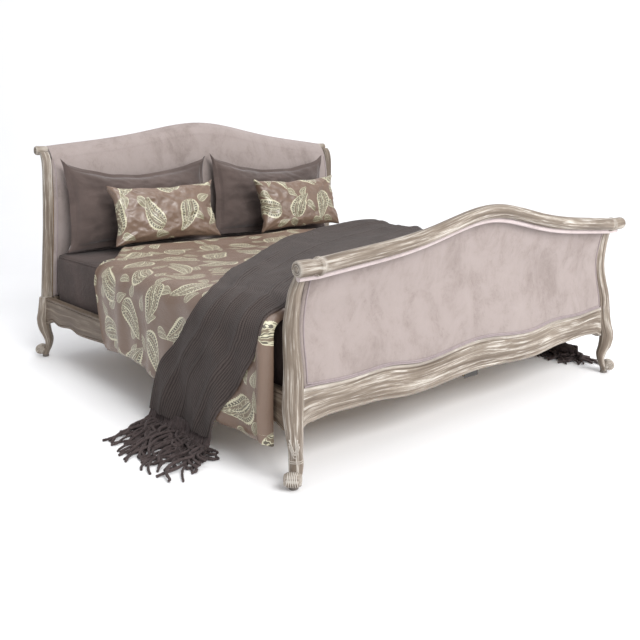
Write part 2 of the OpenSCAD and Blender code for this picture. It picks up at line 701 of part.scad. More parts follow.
wood_screws();
centre_beam();
beam_brackets();
centre_leg(0);  // centre_leg_1
centre_leg(1);  // centre_leg_2
centre_leg(2);  // centre_leg_3
levelling_foot(0);  // levelling_foot_1
levelling_foot(1);  // levelling_foot_2
levelling_foot(2);  // levelling_foot_3
slat(0);  // slat_01
slat(1);  // slat_02
slat(2);  // slat_03
slat(3);  // slat_04
slat(4);  // slat_05
slat(5);  // slat_06
slat(6);  // slat_07
slat(7);  // slat_08
slat(8);  // slat_09
slat(9);  // slat_10
slat(10);  // slat_11
mattress();
duvet();
throw_blanket();
throw_fringe_left();
throw_fringe_right();
sham(-1);  // sham_left
sham(1);  // sham_right
cushion(-1);  // cushion_left
cushion(1);  // cushion_right
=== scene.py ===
"""Looks of the sleigh bed: limed oak, crushed velvet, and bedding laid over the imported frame."""

import math
import random

import bmesh
import bpy
import numpy as np
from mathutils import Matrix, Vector, noise


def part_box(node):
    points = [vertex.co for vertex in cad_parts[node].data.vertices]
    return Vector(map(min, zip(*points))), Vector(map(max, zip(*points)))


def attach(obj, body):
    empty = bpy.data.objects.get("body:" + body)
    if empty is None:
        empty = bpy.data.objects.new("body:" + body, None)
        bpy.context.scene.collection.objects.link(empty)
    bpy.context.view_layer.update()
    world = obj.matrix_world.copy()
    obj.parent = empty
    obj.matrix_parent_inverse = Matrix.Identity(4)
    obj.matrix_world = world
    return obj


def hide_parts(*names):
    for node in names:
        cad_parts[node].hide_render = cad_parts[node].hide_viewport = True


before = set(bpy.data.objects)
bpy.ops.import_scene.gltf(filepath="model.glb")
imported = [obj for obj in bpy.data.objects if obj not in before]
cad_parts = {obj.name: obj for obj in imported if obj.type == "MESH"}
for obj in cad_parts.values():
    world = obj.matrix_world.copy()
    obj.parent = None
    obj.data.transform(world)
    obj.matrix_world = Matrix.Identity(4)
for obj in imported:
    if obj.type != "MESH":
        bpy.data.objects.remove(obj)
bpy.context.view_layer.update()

BED = "bed"
MM = 0.001
SIDES = ((-1, "left"), (1, "right"))

# --- measures taken from the frame, in metres -------------------------------------------------

rail_lo, rail_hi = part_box("side_rail_right")
INNER_X, OUTER_X, RAIL_TOP, RAIL_HEAD = rail_lo.x, rail_hi.x, rail_hi.z, rail_hi.y
RAIL_LOW = 0.200
POST_X = INNER_X - 0.003
PANEL_X = INNER_X - 0.031

mattress_lo, mattress_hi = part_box("mattress")
MATTRESS_TOP, DECK = mattress_hi.z, mattress_lo.z

FOOT_RISE = 0.123
FOOT_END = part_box("footboard_top_rail")[1].z - FOOT_RISE
FOOT_ROLL_R = 0.029
scroll_lo, scroll_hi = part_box("footboard_scroll_right")
FOOT_ROLL_Y = (scroll_lo.y + scroll_hi.y) / 2
FOOT_WAIST = -1.054
FOOT_LOW_SWEEP = 0.026
FOOT_HIGH_SWEEP = 0.040
FOOT_WAIST_T = 0.54

HEAD_RISE = 0.133
HEAD_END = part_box("headboard_top_roll")[1].z - HEAD_RISE
HEAD_ROLL_R = 0.024
scroll_lo, scroll_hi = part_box("headboard_scroll_right")
HEAD_ROLL_Y = (scroll_lo.y + scroll_hi.y) / 2
HEAD_FACE = mattress_hi.y + 0.018
HEAD_LEAN = 0.042
HEAD_TURN = 0.026
HEAD_WAIST_T = 0.8

PAD = 0.014
PANEL_T = 0.040
GLIDE_H = 0.014
SEAM = 0.001


# --- curves ----------------------------------------------------------------------------------


def ease(t):
    return (1 - np.cos(np.pi * t)) / 2


def wave(pairs, x):
    """Value at x of a curve that eases from each (x, value) pair to the next, alike on both sides."""
    x = np.abs(np.asarray(x, float))
    xs, ys = np.array(pairs, float).T
    i = np.clip(np.searchsorted(xs, x, side="right") - 1, 0, len(xs) - 2)
    t = np.clip((x - xs[i]) / (xs[i + 1] - xs[i]), 0, 1)
    return ys[i] + (ys[i + 1] - ys[i]) * ease(t)


def camel(u, hump, power):
    """Camel-back crest, 1 in the middle and 0 at u = 1."""
    u = np.abs(u)
    return 0.6 * np.exp(-((u / hump) ** 2)) + 0.4 * (1 - np.minimum(u, 1) ** power)


def smooth(rows, count):
    """Rows of numbers joined by a smooth curve, with count steps from each row to the next."""
    rows = np.array(rows, float)
    n = len(rows) - 1
    out = []
    for i in range(n):
        a, b, c, d = rows[max(i - 1, 0)], rows[i], rows[i + 1], rows[min(i + 2, n)]
        for k in range(count):
            t = k / count
            out.append(0.5 * (2 * b + (c - a) * t + (2 * a - 5 * b + 4 * c - d) * t**2
                              + (3 * b - 3 * c + d - a) * t**3))
    out.append(rows[n])
    return np.array(out)


def closing_in(count, share):
    """Numbers from -1 to 1 that lie closer together towards both ends, more so at a larger share."""
    even = np.linspace(-math.pi / 2, math.pi / 2, count)
    return np.sin(even) * share + np.linspace(-1, 1, count) * (1 - share)


def squircle(angles, a, b, power):
    """Points at these angles on a rounded square with half sizes a and b."""
    c, s = np.cos(angles), np.sin(angles)
    return np.stack([a * np.sign(c) * np.abs(c) ** (2 / power),
                     b * np.sign(s) * np.abs(s) ** (2 / power)], 1)


def turn(count):
    return np.linspace(0, 2 * math.pi, count, endpoint=False)


def foot_crest(x):
    return FOOT_END + FOOT_RISE * camel(x / PANEL_X, 0.36, 1.6)


def head_crest(x):
    return HEAD_END + HEAD_RISE * camel(x / PANEL_X, 0.42, 2.2)


def foot_apron_top(x):
    pairs = [(0, 0.016), (0.37, -0.012), (0.6, 0.008), (0.79, 0.002), (1, 0.011)]
    return RAIL_TOP + wave(pairs, x / PANEL_X)


def foot_apron_low(x):
    pairs = [(0, 0.014), (0.39, -0.004), (0.66, 0.016), (0.85, 0.020), (0.95, 0.012), (1, -0.008)]
    return RAIL_LOW + wave(pairs, x / PANEL_X)


def side_low(y):
    pairs = [(0, 0.008), (0.29, 0.014), (0.61, 0), (0.7, 0.013), (0.84, 0), (0.92, 0.012), (1, -0.012)]
    return RAIL_LOW + wave(pairs, y / RAIL_HEAD)


def foot_face(t):
    """Front face of the foot panel, t from 0 at the apron to 1 under the roll."""
    t = np.asarray(t, float)
    low = FOOT_LOW_SWEEP * (1 - ease(np.minimum(t / FOOT_WAIST_T, 1)))
    high = FOOT_HIGH_SWEEP * (np.maximum(t - FOOT_WAIST_T, 0) / (1 - FOOT_WAIST_T)) ** 1.6
    return FOOT_WAIST - low - high


def foot_z(x, t):
    low = foot_apron_top(x) + SEAM
    return low + (foot_crest(x) - 1.8 * FOOT_ROLL_R - SEAM - low) * t


def head_face(t):
    """Front face of the head panel, t from 0 at the bottom rail to 1 where it turns over."""
    t = np.asarray(t, float)
    turned = HEAD_TURN * (np.maximum(t - HEAD_WAIST_T, 0) / (1 - HEAD_WAIST_T)) ** 2
    return HEAD_FACE - HEAD_LEAN * ease(np.minimum(t / HEAD_WAIST_T, 1)) + turned


def head_z(x, t):
    low = RAIL_TOP + SEAM
    return low + (head_crest(x) - 3 * HEAD_ROLL_R - SEAM - low) * t


# --- mesh building ---------------------------------------------------------------------------


def new_object(name, vertices, faces, material, uvs=None, sharp=35):
    """Mesh object with shaded-smooth faces, sharp where they meet at more than an angle."""
    mesh = bpy.data.meshes.new(name)
    mesh.from_pydata([tuple(v) for v in vertices], [], faces)
    if uvs is not None:
        layer = mesh.uv_layers.new(name="UVMap")
        layer.data.foreach_set("uv", np.array(uvs, np.float32).ravel())
    mesh.validate()
    mesh.polygons.foreach_set("use_smooth", [True] * len(mesh.polygons))
    mesh.set_sharp_from_angle(angle=math.radians(sharp))
    mesh.materials.append(material)
    obj = bpy.data.objects.new(name, mesh)
    bpy.context.scene.collection.objects.link(obj)
    return obj


def loft(name, rings, material, caps=True, sharp=35):
    """Closed solid through rings of equal length. U runs along the path and V round it, in metres."""
    rings = np.array(rings, float)
    m, n = rings.shape[:2]
    along = np.concatenate([[0], np.cumsum(np.linalg.norm(
        np.diff(rings, axis=0), axis=2).mean(1))])
    closed = np.concatenate([rings, rings[:, :1]], 1)
    round_it = np.concatenate([[0], np.cumsum(np.linalg.norm(
        np.diff(closed, axis=1), axis=2).mean(0))])
    faces, uvs = [], []
    for i in range(m - 1):
        for j in range(n):
            k = (j + 1) % n
            faces.append((i * n + j, i * n + k, (i + 1) * n + k, (i + 1) * n + j))
            uvs += [(along[i], round_it[j]), (along[i], round_it[j + 1]),
                    (along[i + 1], round_it[j + 1]), (along[i + 1], round_it[j])]
    if caps:
        for i, order in ((0, range(n - 1, -1, -1)), (m - 1, range(n))):
            faces.append([i * n + j for j in order])
            uvs += [(along[i], round_it[j]) for j in order]
    return new_object(name, rings.reshape(-1, 3), faces, material, uvs, sharp)


def recalc(obj):
    """Turns every face outwards."""
    bm = bmesh.new()
    bm.from_mesh(obj.data)
    bmesh.ops.recalc_face_normals(bm, faces=bm.faces)
    bm.to_mesh(obj.data)
    bm.free()
    return obj


def frames(path, closed=False):
    """Tangent and two normals at each point of a path, carried along without twisting."""
    path = np.array(path, float)
    if closed:
        tangents = np.roll(path, -1, 0) - np.roll(path, 1, 0)
    else:
        tangents = np.gradient(path, axis=0)
    tangents /= np.linalg.norm(tangents, axis=1)[:, None]
    up = np.array([0, 0, 1.0]) if abs(tangents[0][2]) < 0.9 else np.array([0, 1.0, 0])
    normals = []
    for t in tangents:
        up = up - t * (up @ t)
        up /= np.linalg.norm(up)
        normals.append(up)
    normals = np.array(normals)
    return tangents, normals, np.cross(tangents, normals)


def tube(name, path, radius, material, sides=12, flat=1.0):
    """Round bead along an open path; radius is a number or one for each point."""
    path = np.array(path, float)
    radius = np.broadcast_to(radius, len(path))
    _, n, b = frames(path)
    a = turn(sides)
    rings = [p + r * (np.cos(a)[:, None] * u + flat * np.sin(a)[:, None] * v)
             for p, r, u, v in zip(path, radius, n, b)]
    return recalc(loft(name, rings, material))


def mirrored(points, axis=0):
    """Rings turned over along an axis, each still running the same way round its solid."""
    out = np.array(points, float)
    out[..., axis] *= -1
    return out[..., ::-1, :]


def both_sides(points, side):
    return mirrored(points) if side < 0 else np.array(points, float)


def joined(name, objects):
    """One object made of these ones."""
    bpy.ops.object.select_all(action="DESELECT")
    for obj in objects:
        obj.select_set(True)
    bpy.context.view_layer.objects.active = objects[0]
    bpy.ops.object.join()
    objects[0].name = objects[0].data.name = name
    return objects[0]


def ridges(angles, places, width):
    """Soft ridges, this wide, at these places in degrees round a section."""
    degrees = np.degrees(angles)
    return sum(np.exp(-(((degrees - at + 180) % 360 - 180) / width) ** 2) for at in places)


def placed(obj, *replaced, slot):
    """The piece rides on the bed and stands for these CAD nodes; its slot is not used."""
    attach(obj, BED)
    if replaced:
        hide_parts(*replaced)
    return obj


# --- materials -------------------------------------------------------------------------------


class Shader:
    """A node material under construction, with a short call for each kind of node it uses."""

    def __init__(self, name, **settings):
        self.material = bpy.data.materials.new(name)
        self.material.use_nodes = True
        self.tree = self.material.node_tree
        self.tree.nodes.clear()
        self.bsdf = self.tree.nodes.new("ShaderNodeBsdfPrincipled")
        output = self.tree.nodes.new("ShaderNodeOutputMaterial")
        self.tree.links.new(self.bsdf.outputs[0], output.inputs["Surface"])
        for socket, value in settings.items():
            self.bsdf.inputs[socket.replace("_", " ")].default_value = value

    def node(self, kind, inputs=(), out=0, **properties):
        made = self.tree.nodes.new("ShaderNode" + kind)
        for key, value in properties.items():
            setattr(made, key, value)
        for key, value in dict(inputs).items():
            self.put(made.inputs[key], value)
        return made.outputs[out]

    def put(self, socket, value):
        if isinstance(value, bpy.types.NodeSocket):
            self.tree.links.new(value, socket)
        else:
            socket.default_value = value

    def link(self, socket, value):
        self.put(self.bsdf.inputs[socket], value)

    def uv(self):
        return self.node("TexCoord", out="UV")

    def position(self):
        return self.node("TexCoord", out="Object")

    def scaled(self, vector, scale, offset=(0, 0, 0)):
        return self.node("Mapping", {"Vector": vector, "Scale": scale, "Location": offset})

    def noise(self, vector, scale=1.0, detail=3.0, rough=0.5, distort=0.0, out=0):
        return self.node("TexNoise", {"Vector": vector, "Scale": scale, "Detail": detail,
                                      "Roughness": rough, "Distortion": distort}, out=out)

    def ramp(self, factor, *stops):
        made = self.tree.nodes.new("ShaderNodeValToRGB")
        self.put(made.inputs[0], factor)
        elements = made.color_ramp.elements
        while len(elements) < len(stops):
            elements.new(0.5)
        for element, (place, colour) in zip(elements, stops):
            element.position = place
            element.color = (colour,) * 3 + (1,) if isinstance(colour, (int, float)) else (*colour, 1)
        return made.outputs[0]

    def mix(self, factor, a, b, blend="MIX"):
        a, b = [(*c, 1) if isinstance(c, tuple) else c for c in (a, b)]
        made = self.tree.nodes.new("ShaderNodeMix")
        made.data_type, made.blend_type = "RGBA", blend
        for i, value in ((0, factor), (6, a), (7, b)):
            self.put(made.inputs[i], value)
        return made.outputs[2]

    def math(self, operation, a, b=0.0, c=0.0, clamp=False):
        made = self.tree.nodes.new("ShaderNodeMath")
        made.operation, made.use_clamp = operation, clamp
        for i, value in enumerate((a, b, c)):
            self.put(made.inputs[i], value)
        return made.outputs[0]

    def times(self, a, b, clamp=False):
        return self.math("MULTIPLY", a, b, clamp=clamp)

    def plus(self, a, b):
        return self.math("ADD", a, b)

    def minus(self, a, b):
        return self.math("SUBTRACT", a, b)

    def parts(self, vector):
        made = self.tree.nodes.new("ShaderNodeSeparateXYZ")
        self.put(made.inputs[0], vector)
        return made.outputs

    def warped(self, amount, vector, scale, detail):
        """A vector shaken a little by a noise of this scale."""
        shake = self.noise(self.scaled(vector, scale), 1.0, detail, out=1)
        return self.mix(amount, vector, shake, "LINEAR_LIGHT")

    def bump(self, height, distance, strength):
        self.link("Normal", self.node("Bump", {"Height": height, "Distance": distance, "Strength": strength}))


def dim(colour, factor):
    return tuple(c * factor for c in colour)


def oak_material(name, dark, light, lime, liming):
    """Open-grained oak with lime left in the grain. U runs along the grain."""
    s = Shader(name, Roughness=0.6, Specular_IOR_Level=0.3)
    uv = s.uv()
    place = s.position()
    drift = s.noise(s.scaled(place, (2, 2, 2)), 1.5, 2)
    sway = s.warped(0.012, uv, (2.2, 7, 1), 3)
    figure = s.noise(s.scaled(sway, (2.4, 62, 1)), 1.0, 5, 0.62, 0.5)
    fine = s.noise(s.scaled(sway, (9, 240, 1)), 1.0, 4, 0.6)
    pores = s.noise(s.scaled(sway, (26, 620, 1)), 1.0, 2, 0.5)
    patch = s.noise(s.scaled(uv, (5, 14, 1)), 1.0, 3, 0.6, 0.6)
    wood = s.mix(s.ramp(figure, (0.30, 0.0), (0.70, 1.0)), dark, light)
    wood = s.mix(s.times(drift, 0.35), wood, dim(dark, 0.72))
    streak = s.plus(s.times(figure, 0.55), s.times(fine, 0.45))
    streak = s.ramp(streak, (0.50, 0.0), (0.60, 1.0))
    left = s.times(streak, s.ramp(patch, (0.36, 0.25), (0.62, 1.0)))
    # Convex edges, picked out by pointiness, are lightened towards the lime colour as well as the open grain.
    edge = s.ramp(s.node("NewGeometry", out="Pointiness"), (0.52, 0.0), (0.60, 0.8))
    limed = s.math("MAXIMUM", s.times(left, liming), s.times(edge, liming))
    colour = s.mix(limed, wood, lime)
    colour = s.mix(s.times(s.ramp(pores, (0.55, 0.0), (0.66, 1.0)), 0.35), colour, dim(dark, 0.6))
    s.link("Base Color", colour)
    s.link("Roughness", s.ramp(limed, (0.0, 0.5), (1.0, 0.78)))
    relief = s.plus(s.times(fine, 0.7), s.times(pores, -0.6))
    s.bump(relief, 0.0012, 0.55)
    return s.material


def velvet_material(name, light, dark, crush=1.0, scale=1.0, sheen=0.35):
    """Short pile that lies in different directions, so it shows light and dark smudges."""
    s = Shader(name, Roughness=0.92, Specular_IOR_Level=0.15, Sheen_Weight=sheen,
               Sheen_Roughness=0.45, Sheen_Tint=(0.95, 0.9, 0.9, 1))
    place = s.scaled(s.position(), (scale,) * 3)
    broad = s.noise(place, 2.2, 6, 0.68, 0.2)
    smudge = s.noise(s.scaled(place, (1, 1, 0.7)), 8.0, 7, 0.72, 0.5)
    vein = s.noise(s.scaled(place, (1.2, 1.2, 0.9)), 20, 5, 0.66, 0.9)
    pile = s.noise(place, 420, 2)
    shade = s.plus(s.times(broad, 0.5), s.times(smudge, 0.5))
    shade = s.ramp(shade, (0.40, 1.0), (0.52, 0.28), (0.64, 0.0))
    # Painted shade: thin dark lines along the crush creases.
    creases = s.ramp(s.math("ABSOLUTE", s.minus(vein, 0.5)), (0.0, 1.0), (0.035, 0.0))
    creases = s.times(creases, s.ramp(smudge, (0.42, 0.8), (0.56, 0.0)))
    amount = s.times(s.plus(shade, s.times(creases, 0.4)), crush, clamp=True)
    colour = s.mix(amount, light, dark)
    colour = s.mix(s.times(pile, 0.18), colour, dim(dark, 0.6))
    s.link("Base Color", colour)
    relief = s.plus(s.times(pile, 0.25), s.times(smudge, 0.9 * crush))
    s.bump(relief, 0.002, 0.35)
    return s.material


LIMED_OAK = oak_material("limed_oak", (0.105, 0.078, 0.058), (0.33, 0.275, 0.218),
                         (0.68, 0.645, 0.59), 0.85)
# Darker and less limed than the posts' oak: partly the rails' own plainer wood, partly painted shade of rail
# faces that the key light misses.
RAIL_OAK_AND_SHADE = oak_material("rail_oak", (0.085, 0.058, 0.039), (0.185, 0.138, 0.099),
                        (0.38, 0.33, 0.265), 0.42)
PANEL_VELVET = velvet_material("panel_velvet", (0.315, 0.268, 0.252), (0.205, 0.167, 0.152), 0.75)
WELT_VELVET = velvet_material("welt_velvet", (0.58, 0.50, 0.49), (0.40, 0.33, 0.32), 0.6, 2.0)
PIPING = velvet_material("piping_velvet", (0.30, 0.25, 0.25), (0.20, 0.165, 0.165), 0.5, 3.0, 0.2)
GLIDE = Shader("glide_plastic", Roughness=0.55)
GLIDE.link("Base Color", GLIDE.mix(GLIDE.noise(GLIDE.position(), 60, 3),
                                   (0.10, 0.085, 0.075), (0.17, 0.15, 0.13)))
GLIDE.bump(GLIDE.noise(GLIDE.position(), 500, 2), 0.0005, 0.4)


def pine_material(name, dark, light):
    """Planed softwood with its growth rings drawn out along X."""
    s = Shader(name, Roughness=0.62)
    place = s.position()
    rings = s.noise(s.scaled(place, (1.6, 38, 38)), 1.0, 4, 0.55, 0.5)
    fine = s.noise(s.scaled(place, (6, 260, 260)), 1.0, 3)
    knots = s.ramp(s.noise(s.scaled(place, (3.5, 9, 9)), 1.0, 2), (0.66, 0.0), (0.74, 1.0))
    colour = s.mix(s.ramp(rings, (0.35, 0.0), (0.68, 1.0)), light, dark)
    colour = s.mix(s.times(knots, 0.6), colour, dim(dark, 0.4))
    s.link("Base Color", s.mix(s.times(fine, 0.25), colour, dim(dark, 0.7)))
    s.bump(fine, 0.001, 0.4)
    return s.material


def metal_material(name, colour, metallic, rough, grain):
    s = Shader(name, Metallic=metallic)
    place = s.position()
    wear = s.noise(s.scaled(place, grain), 1.0, 4)
    s.link("Base Color", s.mix(wear, dim(colour, 0.75), colour))
    s.link("Roughness", s.ramp(wear, (0.3, rough - 0.1), (0.7, rough + 0.15)))
    s.bump(wear, 0.0006, 0.3)
    return s.material


# Finishes of the CAD nodes that stay, by the name of their material; plate_steel's is painted shade.
CAD_FINISHES_AND_SHADE = {name: make(name, *finish) for name, make, *finish in (
    ("slat_pine", pine_material, (0.42, 0.27, 0.13), (0.60, 0.43, 0.25)),
    ("ledger_pine", pine_material, (0.36, 0.23, 0.12), (0.52, 0.37, 0.21)),
    ("panel_core", pine_material, (0.30, 0.19, 0.10), (0.42, 0.29, 0.17)),
    # Painted shade: plate_steel is near-black so the brackets under the bed sink into the shadow there.
    ("plate_steel", metal_material, (0.085, 0.08, 0.076), 0.7, 0.5, (40, 40, 300)),
    ("screw_steel", metal_material, (0.58, 0.57, 0.52), 1.0, 0.35, (200, 200, 200)),
    ("black_steel", metal_material, (0.035, 0.035, 0.038), 0.0, 0.45, (160, 160, 160)),
    ("leveller_steel", metal_material, (0.06, 0.06, 0.062), 0.6, 0.42, (160, 160, 160)),
)}


def local_cells(s, uv, size, seed):
    """Place in a grid of staggered square cells: its two coordinates from the cell's middle, turned
    by a random angle, and a random number for the cell."""
    across, along, _ = s.parts(s.scaled(uv, (1 / size, 1 / size, 1), (seed * 0.37, seed * 0.61, 0)))
    row = s.math("FLOOR", along)
    shifted = s.plus(across, s.times(row, 0.5))
    column = s.math("FLOOR", shifted)
    cell = s.node("CombineXYZ", {0: column, 1: row, 2: seed})
    luck = s.node("TexWhiteNoise", {0: cell}, noise_dimensions="3D")
    x = s.minus(s.minus(shifted, column), 0.5)
    y = s.minus(s.minus(along, row), 0.5)
    turned = s.node("VectorRotate", {"Vector": s.node("CombineXYZ", {0: x, 1: y}),
                                     "Angle": s.times(luck, 6.283)}, rotation_type="Z_AXIS")
    x, y, _ = s.parts(turned)
    return x, y, luck


def paisley_motif(s, x, y, width):
    """How far out a point is in a curled drop, 0 on its spine and 1 at its edge, and the height up it."""
    up = s.times(s.plus(y, 0.36), 1.32, clamp=True)
    bend = s.times(s.math("POWER", up, 2.8), 0.42)
    x = s.minus(s.plus(x, 0.07), bend)
    half = s.times(s.math("SQRT", up), s.math("POWER", s.minus(1.0, up), 0.75))
    half = s.math("MAXIMUM", s.times(half, width), 0.0015)
    return s.math("DIVIDE", s.math("ABSOLUTE", x), half), up


def satin_material(name, ground):
    """Printed satin: pale scalloped paisleys of two sizes on a plain ground."""
    s = Shader(name, Roughness=0.42, Sheen_Weight=0.12, Sheen_Tint=(0.85, 0.62, 0.55, 1),
               Specular_IOR_Level=0.65, Anisotropic=0.4)
    uv = s.warped(0.01, s.uv(), (9, 9, 1), 2)
    cream, straw, ink = (0.56, 0.53, 0.38), (0.33, 0.31, 0.20), (0.035, 0.024, 0.018)
    core = (0.12, 0.085, 0.055)
    shade = s.noise(s.scaled(s.uv(), (4, 4, 1)), 1.0, 3)
    colour = s.mix(s.times(shade, 0.7), ground, dim(ground, 0.7))
    for size, width, share, seed in ((0.090, 0.60, 0.45, 3.0), (0.205, 0.66, 1.0, 1.0)):
        x, y, luck = local_cells(s, uv, size, seed)
        d, up = paisley_motif(s, x, y, width)
        scallop = s.times(s.math("SINE", s.times(up, 95.0)), 0.035)
        edge = s.times(s.plus(d, scallop), 0.8)
        inside = s.ramp(edge, (0.795, 1.0), (0.81, 0.0))
        bands = s.ramp(edge, (0.0, cream), (0.045, cream), (0.06, ink),
                       (0.15, ink), (0.16, cream), (0.19, cream), (0.20, core), (0.40, core),
                       (0.41, cream), (0.45, cream), (0.46, ink), (0.65, ink), (0.66, cream),
                       (0.80, cream))
        beads = s.math("SINE", s.times(up, 75.0))
        d = s.times(d, 0.8)
        ring = s.ramp(d, (0.49, 0.0), (0.51, 1.0), (0.60, 1.0), (0.62, 0.0))
        dots = s.times(s.ramp(beads, (0.35, 0.0), (0.55, 1.0)), ring)
        inner = s.node("TexVoronoi", {"Vector": uv, "Scale": 2.3 / size * 6}, out=0)
        speckle = s.times(s.ramp(inner, (0.22, 1.0), (0.34, 0.0)), s.ramp(d, (0.37, 1.0), (0.40, 0.0)))
        motif = s.mix(dots, bands, cream)
        motif = s.mix(s.times(speckle, 0.75), motif, cream)
        motif = s.mix(s.times(s.noise(s.scaled(uv, (160, 160, 1)), 1.0, 2), 0.3), motif, straw)
        shown = s.ramp(luck, (share, 1.0), (min(share + 0.01, 1.0), 0.0)) if share < 1 else 1.0
        colour = s.mix(s.times(inside, shown), colour, motif)
    s.link("Base Color", colour)
    crease = s.noise(s.scaled(s.uv(), (14, 5, 1)), 1.0, 4, 0.55, 1.2)
    thread = s.node("TexWave", {"Vector": s.scaled(s.uv(), (1400, 1400, 1)), "Scale": 1.0,
                                "Distortion": 1.0})
    relief = s.plus(crease, s.times(thread, 0.03))
    s.bump(relief, 0.010, 0.30)
    s.link("Roughness", s.ramp(shade, (0.3, 0.28), (0.7, 0.42)))
    return s.material


def knit_material(name, dark, light, ribs=95.0):
    """Rib knit with columns along U and a small V-shaped stitch in each, with painted shade in the hollows
    between them.
    """
    s = Shader(name, Roughness=0.95, Sheen_Weight=0.06, Specular_IOR_Level=0.15)
    u, v, _ = s.parts(s.warped(0.004, s.uv(), (30, 30, 1), 2))
    column = s.math("ABSOLUTE", s.math("SINE", s.times(v, ribs * math.pi)))
    slant = s.times(s.math("ABSOLUTE", s.minus(s.math("FRACT", s.times(v, ribs)), 0.5)), 3.0)
    stitch = s.math("SINE", s.plus(s.times(u, 900.0), s.times(slant, 3.0)))
    stitch = s.times(s.plus(stitch, 1.0), 0.5)
    height = s.plus(s.times(column, 0.65), s.times(stitch, 0.35))
    fuzz = s.noise(s.scaled(s.uv(), (500, 500, 1)), 1.0, 3)
    broad = s.noise(s.scaled(s.uv(), (6, 6, 1)), 1.0, 3)
    # Painted shade and painted highlight: the sunk lines between ribs and stitches are darker, the raised
    # ones lighter.
    colour = s.mix(s.ramp(height, (0.15, 0.0), (0.85, 1.0)), dark, light)
    colour = s.mix(s.times(fuzz, 0.35), colour, light)
    colour = s.mix(s.times(broad, 0.5), colour, dim(dark, 0.7))
    s.link("Base Color", colour)
    s.bump(height, 0.003, 0.7)
    return s.material


def cotton_material(name, colour, weave=700.0, rough=0.9, sheen=0.2):
    """Plain cloth: a fine weave, soft wrinkles and slightly uneven dye."""
    s = Shader(name, Roughness=rough, Sheen_Weight=sheen, Specular_IOR_Level=0.2)
    place = s.position()
    broad = s.noise(place, 5, 4, 0.6, 0.4)
    thread = s.noise(place, weave, 2)
    wrinkle = s.noise(s.scaled(place, (9, 9, 20)), 1.0, 4, 0.6, 1.4)
    shade = s.mix(s.ramp(broad, (0.3, 0.0), (0.7, 1.0)), dim(colour, 0.72), dim(colour, 1.25))
    s.link("Base Color", s.mix(s.times(thread, 0.3), shade, dim(colour, 0.6)))
    relief = s.plus(s.times(thread, 0.08), wrinkle)
    s.bump(relief, 0.012, 0.35)
    return s.material


DUVET_SATIN = satin_material("duvet_satin", (0.150, 0.096, 0.066))
CUSHION_SATIN = satin_material("cushion_satin", (0.175, 0.114, 0.080))
# The throw's darker colour is painted shade between its ribs, the lighter one its ribs with painted
# highlight.
THROW_KNIT = knit_material("throw_knit", (0.012, 0.009, 0.008), (0.105, 0.083, 0.076), 80.0)
THROW_FRINGE = velvet_material("throw_fringe", (0.082, 0.062, 0.060), (0.030, 0.022, 0.021), 0.8, 9.0, 0.12)
SHAM_VELVET = cotton_material("sham_velvet", (0.088, 0.065, 0.058), 500.0, 0.95, 0.32)
FITTED_SHEET = cotton_material("fitted_sheet", (0.060, 0.041, 0.036), sheen=0.08)

# --- wooden frame ----------------------------------------------------------------------------


def post_height(t):
    return (RAIL_TOP + (FOOT_END - 0.046 - RAIL_TOP) * t) / MM


def leg_height(t):
    return (GLIDE_H + (RAIL_TOP - GLIDE_H) * t) / MM


# Rows of an upright: height, centre out from the post line and beyond the waist, and the half
# sizes of its section along and across the diagonal, in millimetres.
POST_ROWS = [
    (post_height(1), -6, 36, 22, 19), (post_height(0.847), 2, 10, 28, 23),
    (post_height(0.735), 5, 0, 28, 24), (post_height(0.544), 9, -9, 28, 27),
    (post_height(0.353), 14, 0, 29, 29), (post_height(0.162), 19, 15, 31, 33)]
LEG_ROWS = [
    (leg_height(0.9), 26, 19, 34, 35), (leg_height(0.742), 31, 26, 34, 34),
    (leg_height(0.6), 36, 37, 33, 31), (leg_height(0.428), 29, 35, 30, 26),
    (leg_height(0.296), 19, 24, 24, 25), (leg_height(0.208), 16, 22, 18, 26),
    (leg_height(0.113), 22, 27, 17, 24), (leg_height(0.05), 32, 32, 18, 22),
    (leg_height(0), 35, 32, 15, 20)]
HEAD_LEG_TOP = [(RAIL_TOP / MM - 0.4, 24, 16, 33, 34)]


def upright_rings(rows, steps=16, around=96):
    """Rings of a moulded upright, with two sunk lines beside a bead on each of its side edges."""
    angles = turn(around)
    lines = ridges(angles, (74, 104, 256, 286), 4.5)
    beads = ridges(angles, (89, 271), 8.0)
    rings = []
    for z, out, beyond, a, b in smooth(rows, steps):
        shown = min(1, max(0, (z - 120) / 120))
        p = squircle(angles, a, b, 2.6)
        p *= (1 + shown * (0.05 * beads - 0.075 * lines))[:, None]
        x = POST_X + (out + (p[:, 0] + p[:, 1]) / math.sqrt(2)) * MM
        y = FOOT_WAIST - (beyond + (p[:, 0] - p[:, 1]) / math.sqrt(2)) * MM
        rings.append(np.stack([x, y, np.full(around, z * MM)], 1))
    return np.array(rings)


def lathe(name, profile, origin, axis, material, steps=72, sharp=40):
    """Turned piece: profile is (distance along the axis, radius), from one end to the other."""
    axis = Vector(axis).normalized()
    side = axis.cross(Vector((0, 0, 1)) if abs(axis.z) < 0.9 else Vector((1, 0, 0))).normalized()
    up = side.cross(axis)
    a = turn(steps)
    ring = np.cos(a)[:, None] * np.array(side) + np.sin(a)[:, None] * np.array(up)
    rings = [np.array(origin) + np.array(axis) * s + ring * max(r, 1e-5) for s, r in profile]
    return recalc(loft(name, rings, material, sharp=sharp))


def spiral(origin, axis, start, turns, outer, inner, count=90):
    """Points of a flat spiral about an axis, from outside to inside."""
    axis = Vector(axis).normalized()
    side = axis.cross(Vector((0, 0, 1))).normalized()
    up = side.cross(axis)
    out = []
    for i in range(count):
        t = i / (count - 1)
        angle = start + turns * 2 * math.pi * t
        r = outer + (inner - outer) * t**0.8
        out.append(np.array(origin) + r * (math.cos(angle) * np.array(side)
                                           + math.sin(angle) * np.array(up)))
    return np.array(out)


